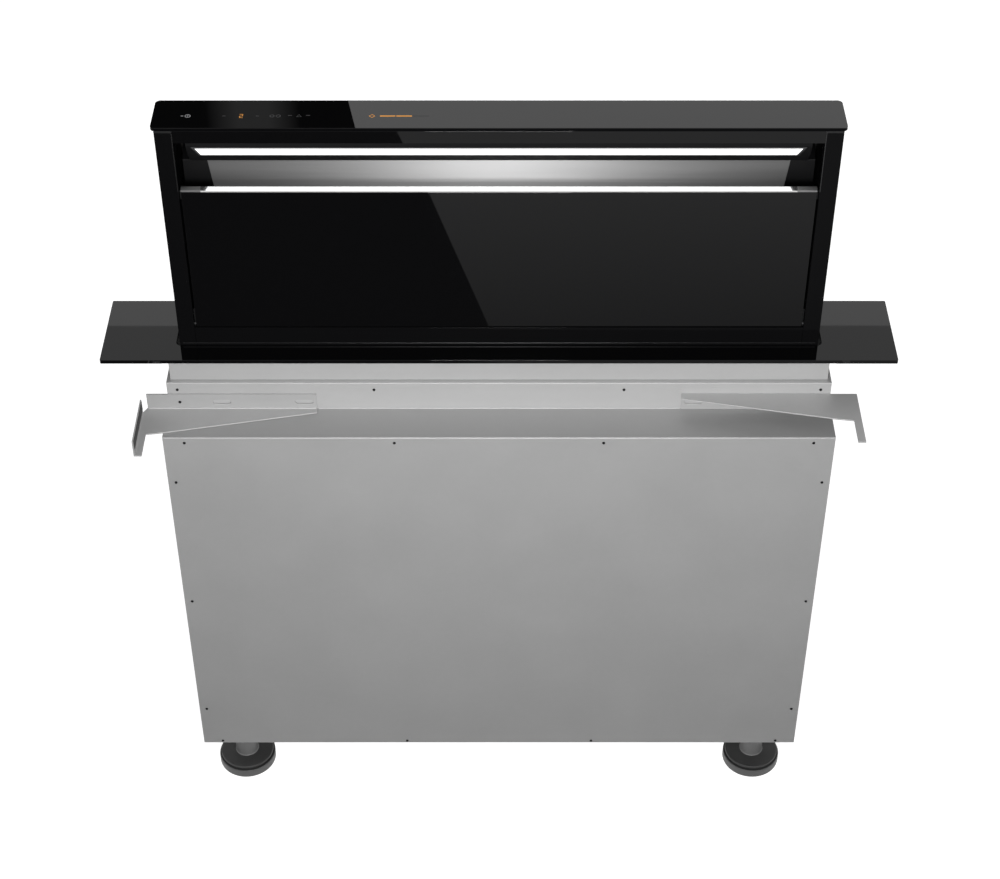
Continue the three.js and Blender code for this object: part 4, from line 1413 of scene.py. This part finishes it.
@dataclass
class GreaseFilter:
    """Framed cassette of expanded aluminium mesh, lifted out by a wire handle."""

    node: str
    side: int
    front: float = 25.6
    back: float = 33.6
    inner: float = 1.5
    outer: float = 410.0
    low: float = 842.0
    high: float = 1048.0
    rim: float = 10.0
    cell_width: float = 10.0
    cell_height: float = 5.0
    strand: float = 0.9

    def frame(self) -> Workpiece:
        """Returns the cassette's folded frame."""
        left, right = sorted((self.side * self.inner, self.side * self.outer))
        piece = Workpiece.block(
            f"{self.node}_cassette",
            (left, self.front, self.low),
            (right, self.back, self.high),
        )
        hole = Workpiece.block(
            "filter_window",
            (left + self.rim, self.front - 1, self.low + self.rim),
            (right - self.rim, self.back + 1, self.high - self.rim),
        )
        return piece.cut(hole).bevel(0.8, 3)

    def mesh(self) -> Workpiece:
        """Returns the expanded mesh that fills the frame."""
        left, right = sorted(
            (self.side * (self.inner + self.rim - 1), self.side * (self.outer - self.rim + 1))
        )
        low, high = self.low + self.rim - 1, self.high - self.rim + 1
        centre = Vector(((left + right) / 2, (self.front + self.back) / 2, (low + high) / 2))
        columns = math.ceil((right - left) / self.cell_width)
        rows = math.ceil((high - low) / self.cell_height)
        count = columns + rows
        Workpiece.clear()
        bpy.ops.mesh.primitive_grid_add(
            x_subdivisions=count, y_subdivisions=count, size=count * math.sqrt(0.5) * MM
        )
        net = Workpiece._added(f"{self.node}_net")
        net.turn((0, 0, math.pi / 4))
        net.obj.scale = (self.cell_width, self.cell_height, 1)
        net.settle().turn(Axis.FRONT.value).move(centre)
        for level, normal in (
            ((left, 0, 0), (-1, 0, 0)),
            ((right, 0, 0), (1, 0, 0)),
            ((0, 0, low), (0, 0, -1)),
            ((0, 0, high), (0, 0, 1)),
        ):
            net.slice(level, normal, trim=True)
        return net.modified(
            "WIREFRAME",
            thickness=self.strand * MM,
            use_even_offset=False,
            use_boundary=True,
            use_replace=True,
        )

    def handle(self) -> Workpiece:
        """Returns the wire handle that the cassette is lifted out by."""
        x = self.side * (self.inner + self.outer) / 2
        half, wire, reach = 25, 2, 4
        back, top, leg = self.front - reach, self.high - wire, half - wire
        bar = Workpiece.block(
            f"{self.node}_handle",
            (x - half, back - wire, top - wire),
            (x + half, back, top),
        )
        for end in (-1, 1):
            bar.slice((x + end * leg, 0, 0), (1, 0, 0))
        bar.extrude(lambda c, n: n.y > 0.9 and abs(c.x - x) > leg, (0, reach, 0))
        return bar.bevel(0.6, 2)

    def build(self) -> None:
        """Builds the cassette."""
        self.frame().dress(FILTER_METAL).fit(Body.TOWER, self.node)
        self.mesh().dress(FILTER_METAL).fit(Body.TOWER)
        self.handle().dress(STEEL).fit(Body.TOWER)


@dataclass
class TouchControls:
    """Marks under the cap's glass: lit ones in amber and white, and unlit ones."""

    top: float = 1163.5
    thickness: float = 0.08
    line: float = 29.8  # how far back the marks stand
    stroke: float = 1.1

    def bar(self, low: Span, high: Span) -> Workpiece:
        """Returns a flat bar between two corners on the cap."""
        return Workpiece.block(
            "mark",
            (low[0], low[1], self.top - self.thickness),
            (high[0], high[1], self.top),
        )

    def ring(self, x: float, radius: float, sides: int = 24) -> Workpiece:
        """Returns a flat ring; with four sides it is a diamond."""
        low, high = self.top - self.thickness, self.top
        inner = radius - self.stroke
        profile = [(inner, low), (radius, low), (radius, high), (inner, high)]
        return Workpiece.turned("mark", profile, (x, self.line, 0), sides=sides, ring=True)

    def digit(self, x: float, width: float = 4.4, height: float = 8.8) -> list[Workpiece]:
        """Returns a seven-segment 2, the fan level, as its five lit segments."""
        left, right, s = x - width / 2, x + width / 2, self.stroke * 0.75
        low, high, mid = self.line - height / 2, self.line + height / 2, self.line
        return [
            self.bar((left, high - s), (right, high)),
            self.bar((right - s, mid + s / 2), (right, high - s)),
            self.bar((left, mid - s / 2), (right, mid + s / 2)),
            self.bar((left, low + s), (left + s, mid - s / 2)),
            self.bar((left, low), (right, low + s)),
        ]

    def gather(self, name: str, marks: list[Workpiece], finish: Finish) -> None:
        """Joins marks of one finish into a piece of the tower."""
        marks[0].obj.name = marks[0].obj.data.name = name
        marks[0].joined(marks[1:]).dress(finish).fit(Body.TOWER)

    def build(self) -> None:
        """Builds the marks."""
        line = self.line
        lit = self.digit(-331.8)
        lit.append(self.ring(-163.3, 4.2, 4))
        lit += [
            self.bar((start, line - 1.3), (end, line + 1.3))
            for start, end in ((-153.0, -133.4), (-132.0, -112.0))
        ]
        self.gather("fan_level_marks", lit, AMBER_INK)
        white = [
            self.ring(-400.6, 3.8),
            self.bar((-409.5, line - 0.7), (-406.2, line + 0.7)),
            self.bar((-401.1, line - 2.0), (-400.1, line + 2.0)),
        ]
        self.gather("lamp_key_mark", white, WHITE_INK)
        dim = [self.bar((-110.6, line - 0.9), (-90.0, line + 0.9))]
        dim += [self.bar((x - 2, line - 0.7), (x + 2, line + 0.7)) for x in (-354.0, -311.0)]
        dim += [self.ring(x, 3.2) for x in (-292.0, -284.0)]
        dim += [
            self.bar((x - 2.6, line + 0.9), (x + 2.6, line + 2.1))
            for x in (-269.0, -245.7)
        ]
        dim += [self.ring(-257.3, 4.0, 3)]
        self.gather("unlit_key_marks", dim, FAINT_INK)


@dataclass
class Tower:
    """The rising glass tower: cap, head, pillars and back."""

    mark_depth: float = 0.08
    arris: float = 1.8  # sealed strip along the cap's front edge
    bead: Box = ((-420, -0.2, 1066), (-418.8, 0.5, 1159))
    seam: Box = ((-418.95, 64.9, 1050), (-416.5, 65.55, 1141))
    trim: Box = ((-438, -0.2, 814.4), (438, 0.4, 815.5))

    def cap(self) -> None:
        """Makes the cap, with its face just below the marks on it."""
        cap = Workpiece.copy_of("cap_glass", "cap_plate")
        top = max(vertex.co.z for vertex in cap.obj.data.vertices)
        for vertex in cap.obj.data.vertices:
            if vertex.co.z > top - 0.0001:
                vertex.co.z -= self.mark_depth / 2 * MM
        back = max(vertex.co.y for vertex in cap.obj.data.vertices) / MM
        front = min(vertex.co.y for vertex in cap.obj.data.vertices) / MM
        level = max(vertex.co.z for vertex in cap.obj.data.vertices) / MM
        cap.bevel(1.3, 3, along((back, level)))
        cap.bevel(0.2, 2)
        cap.slice((0, front + self.arris, 0), (0, 1, 0))
        cap.dress(BLACK_GLASS, GLASS_EDGE)
        cap.paint(1, lambda c, n: n.y < -0.3 or c.y < front + self.arris)
        cap.fit(Body.TOWER, "cap_glass")

    def build(self) -> None:
        """Builds the tower."""
        self.cap()
        TouchControls().build()
        refine("header_front", Body.TOWER, BLACK_GLASS, 0.15, 2)
        for node in ("pillar_left", "pillar_right"):
            refine(node, Body.TOWER, BLACK_LACQUER, 0.6, 3)
        for node in ("cap_carrier", "tower_back"):
            refine(node, Body.TOWER, BLACK_COAT, 0.3)
        refine("front_skirt", Body.TOWER, BLACK_LACQUER, 0.2)
        # The line of light on the pillars' inner edges, seen beside the opening only.
        bead = Workpiece.block("pillar_bead_left", *self.bead)
        bead.bevel(0.2, 2)
        for piece in (bead, bead.mirrored("pillar_bead_right")):
            piece.dress(DARK_TRIM).fit(Body.TOWER)
        # Sealant in the corners, where the back sheet would let light through.
        seam = Workpiece.block("back_seam_left", *self.seam)
        for piece in (seam, seam.mirrored("back_seam_right")):
            piece.dress(RUBBER).fit(Body.TOWER)
        trim = Workpiece.block("skirt_trim", *self.trim)
        trim.bevel(0.2, 2).dress(DARK_TRIM).fit(Body.TOWER)
        for node in ("panel_catch_left", "panel_catch_right"):
            refine(node, Body.TOWER, BLACK_PLASTIC, 0.8, 3)


@dataclass
class FrontPanel:
    """The glass front that tilts forward to free the filters."""

    mirror_half: float = 390.0

    def build(self) -> None:
        """Builds the panel."""
        refine("panel_glass", Body.PANEL, BLACK_GLASS, 0.4, 3)
        rail = Workpiece.copy_of("panel_rail", "panel_rail_extrusion")
        rail.bevel(0.2, 2)
        for side in (-1, 1):
            rail.slice((side * self.mirror_half, 0, 0), (1, 0, 0))
        # The middle mirrors the lamp; the ends are painted shade and the faces not turned up
        # are painted light.
        rail.dress(BRIGHT_RAIL, RAIL_ENDS_PAINTED_SHADE, RAIL_EDGE_PAINTED_LIGHT)
        rail.paint(2, lambda c, n: n.z < 0.8)
        rail.paint(1, lambda c, n: abs(c.x) > self.mirror_half)
        rail.fit(Body.PANEL, "panel_rail")
        for node in ("panel_hinge_left", "panel_hinge_right"):
            refine(node, Body.PANEL, DARK_SCREW, 0.3)


@dataclass
class Lift:
    """The belt lift and telescopic rails inside the casing."""

    def build(self) -> None:
        """Builds the lift."""
        for side, slide, idler in (
            ("left", Body.SLIDE_LEFT, Body.IDLER_LEFT),
            ("right", Body.SLIDE_RIGHT, Body.IDLER_RIGHT),
        ):
            refine(f"rail_outer_{side}", Body.CASING, STEEL, 0.25)
            refine(f"rail_middle_{side}", slide, STEEL, 0.25)
            refine(f"rail_inner_{side}", Body.TOWER, STEEL, 0.25)
            refine(f"idler_pulley_{side}", idler, BLACK_PLASTIC, 0.25)
            refine(f"belt_{side}", Body.CASING, RUBBER, 0)
            refine(f"belt_frame_{side}", Body.CASING, ZINC_SHEET, 0.3)
        refine("drive_shaft", Body.DRIVE_SHAFT, STEEL, 0.25)
        refine("lift_motor", Body.CASING, STEEL, 0.6)
        refine("lift_crossbar", Body.TOWER, BLACK_COAT, 0.3)


@dataclass
class Blower:
    """The blower, its outlet and dampers, and the controls beside it."""

    def build(self) -> None:
        """Builds the blower."""
        refine("blower_scroll", Body.CASING, ZINC_SHEET, 0.3)
        refine("blower_motor", Body.CASING, STEEL, 0.4)
        refine("impeller", Body.IMPELLER, BLACK_PLASTIC, 0)
        refine("outlet_spigot", Body.CASING, ZINC_SHEET, 0.3)
        refine("damper_flap_left", Body.DAMPER_LEFT, STEEL, 0.2)
        refine("damper_flap_right", Body.DAMPER_RIGHT, STEEL, 0.2)
        refine("control_box", Body.CASING, BLACK_PLASTIC, 0.8, 3)
        refine("mains_inlet", Body.CASING, BLACK_PLASTIC, 0.8, 3)


# ---------------------------------------------------------------- studio


@dataclass
class Studio:
    """Camera, lights, pale floor, and the cards that black glass mirrors."""

    camera_place: Place = (0.0014, -2.2884, 2.6245)
    camera_pitch: float = 49.04
    lens: float = 75.76
    ambient: float = 0.22
    floor_half: float = 20.0
    floor_glow: float = 0.86
    streak_power: float = 88.0

    def camera(self) -> None:
        """Stands the camera where the photo was taken from."""
        data = bpy.data.cameras.new("camera")
        data.lens = self.lens
        data.sensor_width = 36.0
        camera = bpy.data.objects.new("camera", data)
        camera.location = self.camera_place
        camera.rotation_euler = (math.radians(self.camera_pitch), 0, 0)
        bpy.context.scene.collection.objects.link(camera)
        bpy.context.scene.camera = camera

    def seen_directly(
        self, tree: bpy.types.NodeTree, unseen: float, seen: float
    ) -> bpy.types.NodeSocket:
        """Tells rays that the eye follows, also off gloss and through glass, from others.

        Args:
            tree: Node tree of the material or world.
            unseen: Result for rays that only carry light.
            seen: Result for rays that the eye follows.

        Returns:
            The value output.
        """
        path = add_node(tree, "LightPath")
        total = path.outputs["Is Camera Ray"]
        for name in ("Is Glossy Ray", "Is Transmission Ray"):
            total = add_node(
                tree,
                "Math",
                {"operation": "MAXIMUM"},
                {0: total, 1: path.outputs[name]},
            ).outputs["Value"]
        return add_node(
            tree, "MapRange", inputs={"Value": total, "To Min": unseen, "To Max": seen}
        ).outputs["Result"]

    def world(self) -> None:
        """Lights the scene evenly, against white."""
        world = bpy.data.worlds.new("studio")
        tree = fresh_tree(world)
        strength = self.seen_directly(tree, self.ambient, 1.0)
        background = add_node(
            tree,
            "Background",
            inputs={"Color": linear("ffffff"), "Strength": strength},
        )
        add_node(
            tree, "OutputWorld", inputs={"Surface": background.outputs["Background"]}
        )
        bpy.context.scene.world = world

    def floor(self) -> None:
        """Lays the pale floor."""
        material = bpy.data.materials.new("pale painted floor")
        tree = fresh_tree(material)
        glow = self.seen_directly(tree, 0.0, self.floor_glow)
        shader = add_node(
            tree,
            "BsdfPrincipled",
            inputs={
                "Base Color": linear("c4c4c4"),
                "Roughness": 0.9,
                "Specular IOR Level": 0.0,
                "Emission Color": linear("ffffff"),
                "Emission Strength": glow,
            },
        )
        add_node(tree, "OutputMaterial", inputs={"Surface": shader.outputs["BSDF"]})
        Workpiece.clear()
        bpy.ops.mesh.primitive_plane_add(size=self.floor_half * 2)
        floor = bpy.context.object
        floor.name = "floor"
        floor.data.materials.append(material)

    def softbox(
        self, name: str, place: Place, target: Place, size: Span, power: float
    ) -> bpy.types.Object:
        """Hangs a soft lamp.

        Args:
            name: Name of the lamp.
            place: Where it hangs.
            target: What it points at.
            size: Its width and height.
            power: Its power in watts.

        Returns:
            The lamp.
        """
        data = bpy.data.lights.new(name, "AREA")
        data.shape = "RECTANGLE"
        data.size, data.size_y = size
        data.energy = power
        lamp = bpy.data.objects.new(name, data)
        lamp.location = place
        direction = Vector(target) - Vector(place)
        lamp.rotation_euler = direction.to_track_quat("-Z", "Y").to_euler()
        bpy.context.scene.collection.objects.link(lamp)
        return lamp

    def snoot(self, lamp: str, *pieces: str) -> None:
        """Keeps a lamp's light on some pieces, as a snoot on it would.

        Args:
            lamp: Name of the lamp.
            *pieces: Names of the pieces that it may light.
        """
        lit = bpy.data.collections.new(f"{lamp}_lights")
        for name in pieces:
            lit.objects.link(bpy.data.objects[name])
        bpy.data.objects[lamp].light_linking.receiver_collection = lit

    def card(
        self,
        name: str,
        corners: Sequence[Place],
        stops: Sequence[tuple[float, str]],
        axis: int = 1,
    ) -> None:
        """Stands a card that only reflections show.

        Args:
            name: Name of the card.
            corners: Its outline, in metres.
            stops: Place along the axis, in metres, and the hex colour mirrored there.
            axis: Axis that the colour runs along.
        """
        mesh = bpy.data.meshes.new(name)
        mesh.from_pydata(corners, [], [list(range(len(corners)))])
        card = bpy.data.objects.new(name, mesh)
        bpy.context.scene.collection.objects.link(card)
        material = bpy.data.materials.new(name)
        tree = fresh_tree(material)
        place = add_node(tree, "TexCoord")
        axes = add_node(tree, "SeparateXYZ", inputs={0: place.outputs["Object"]})
        first, last = stops[0][0], stops[-1][0]
        along = add_node(
            tree,
            "MapRange",
            inputs={"Value": axes.outputs[axis], "From Min": first, "From Max": last},
        )
        ramp = add_node(tree, "ValToRGB", inputs={"Fac": along.outputs["Result"]})
        elements = ramp.color_ramp.elements
        while len(elements) < len(stops):
            elements.new(0.5)
        for element, (position, code) in zip(elements, stops):
            element.position = (position - first) / (last - first)
            element.color = linear(code)
        glow = add_node(tree, "Emission", inputs={"Color": ramp.outputs["Color"]})
        add_node(tree, "OutputMaterial", inputs={"Surface": glow.outputs["Emission"]})
        mesh.materials.append(material)
        card.visible_camera = False
        card.visible_diffuse = False
        card.visible_transmission = False
        card.visible_shadow = False

    def cards(self) -> None:
        """Places the cards: dark to the left of a slanted edge, grey to its right."""
        edge = [(-0.234, -1.8), (-0.212, -1.73), (-0.157, -1.562), (-0.023, -1.083)]
        near, far, side, low = -1.0, -2.4, 2.2, 0.006
        left = [(-side, far, low), (-0.45, far, low)]
        left += [(x, y, low) for x, y in edge]
        left += [(0.0, near, low), (-side, near, low)]
        self.card("dark_floor_card", left, [(far, "3c3c3c"), (near, "3a3a3a")])
        self.card(
            "grey_floor_card",
            [
                (-side, far, 0.004),
                (side, far, 0.004),
                (side, -0.12, 0.004),
                (-side, -0.12, 0.004),
            ],
            [(far, "b8b8b8"), (-1.57, "b0b0b0"), (-1.07, "848484"), (-0.12, "404040")],
        )
        self.card(
            "dark_rear_card",
            [
                (-0.57, 0.6, 1.47),
                (-0.245, 0.6, 1.47),
                (-0.229, 0.6, 1.56),
                (-0.57, 0.6, 1.56),
            ],
            [
                (-0.57, "202020"),
                (-0.47, "202020"),
                (-0.42, "7e7e7e"),
                (-0.37, "7e7e7e"),
                (-0.32, "202020"),
                (-0.229, "202020"),
            ],
            axis=0,
        )
        self.card(
            "grey_rear_card",
            [(-2.2, 3, 3.11), (2.2, 3, 3.11), (2.2, 3, 4.6), (-2.2, 3, 4.6)],
            [(3.11, "c8c8c8"), (4.6, "c8c8c8")],
            axis=2,
        )

    def build(self) -> None:
        """Sets up the studio."""
        bpy.context.scene.view_settings.view_transform = "Standard"
        self.camera()
        self.world()
        self.floor()
        self.softbox("key", (0.0, -1.6, 1.52), (0, 0, 0.75), (0.3, 0.6), 28.0)
        streak = self.softbox(
            "streak", (0.0, -2.2, 2.7), (0, 0, 1.0), (0.3, 0.3), self.streak_power
        )
        streak.visible_diffuse = False
        fill = self.softbox("rear_fill", (0.0, 2.4, 1.5), (0, 0, 0.6), (1.8, 1.0), 24.0)
        fill.visible_glossy = False
        self.cards()


def main() -> None:
    """Builds the studio and every sub-assembly."""
    logging.basicConfig(level=logging.INFO, format="%(name)s: %(message)s")
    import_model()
    studio = Studio()
    studio.build()
    for assembly in (
        Casing(),
        WorktopPlate(),
        MountingBrackets(),
        LevellingFoot(-406.2, -48.4, Body.FOOT_FRONT_LEFT),
        LevellingFoot(406.2, -48.4, Body.FOOT_FRONT_RIGHT),
        LevellingFoot(-406.2, 53.6, Body.FOOT_REAR_LEFT),
        LevellingFoot(406.2, 53.6, Body.FOOT_REAR_RIGHT),
        Tower(),
        Lamp(),
        AirGuide(),
        FrontPanel(),
        Lift(),
        Blower(),
    ):
        log.info("building %s", type(assembly).__name__)
        assembly.build()
    studio.snoot("streak", "deflector_sheet")
    Workpiece.clear()


if __name__ == "__main__":
    main()
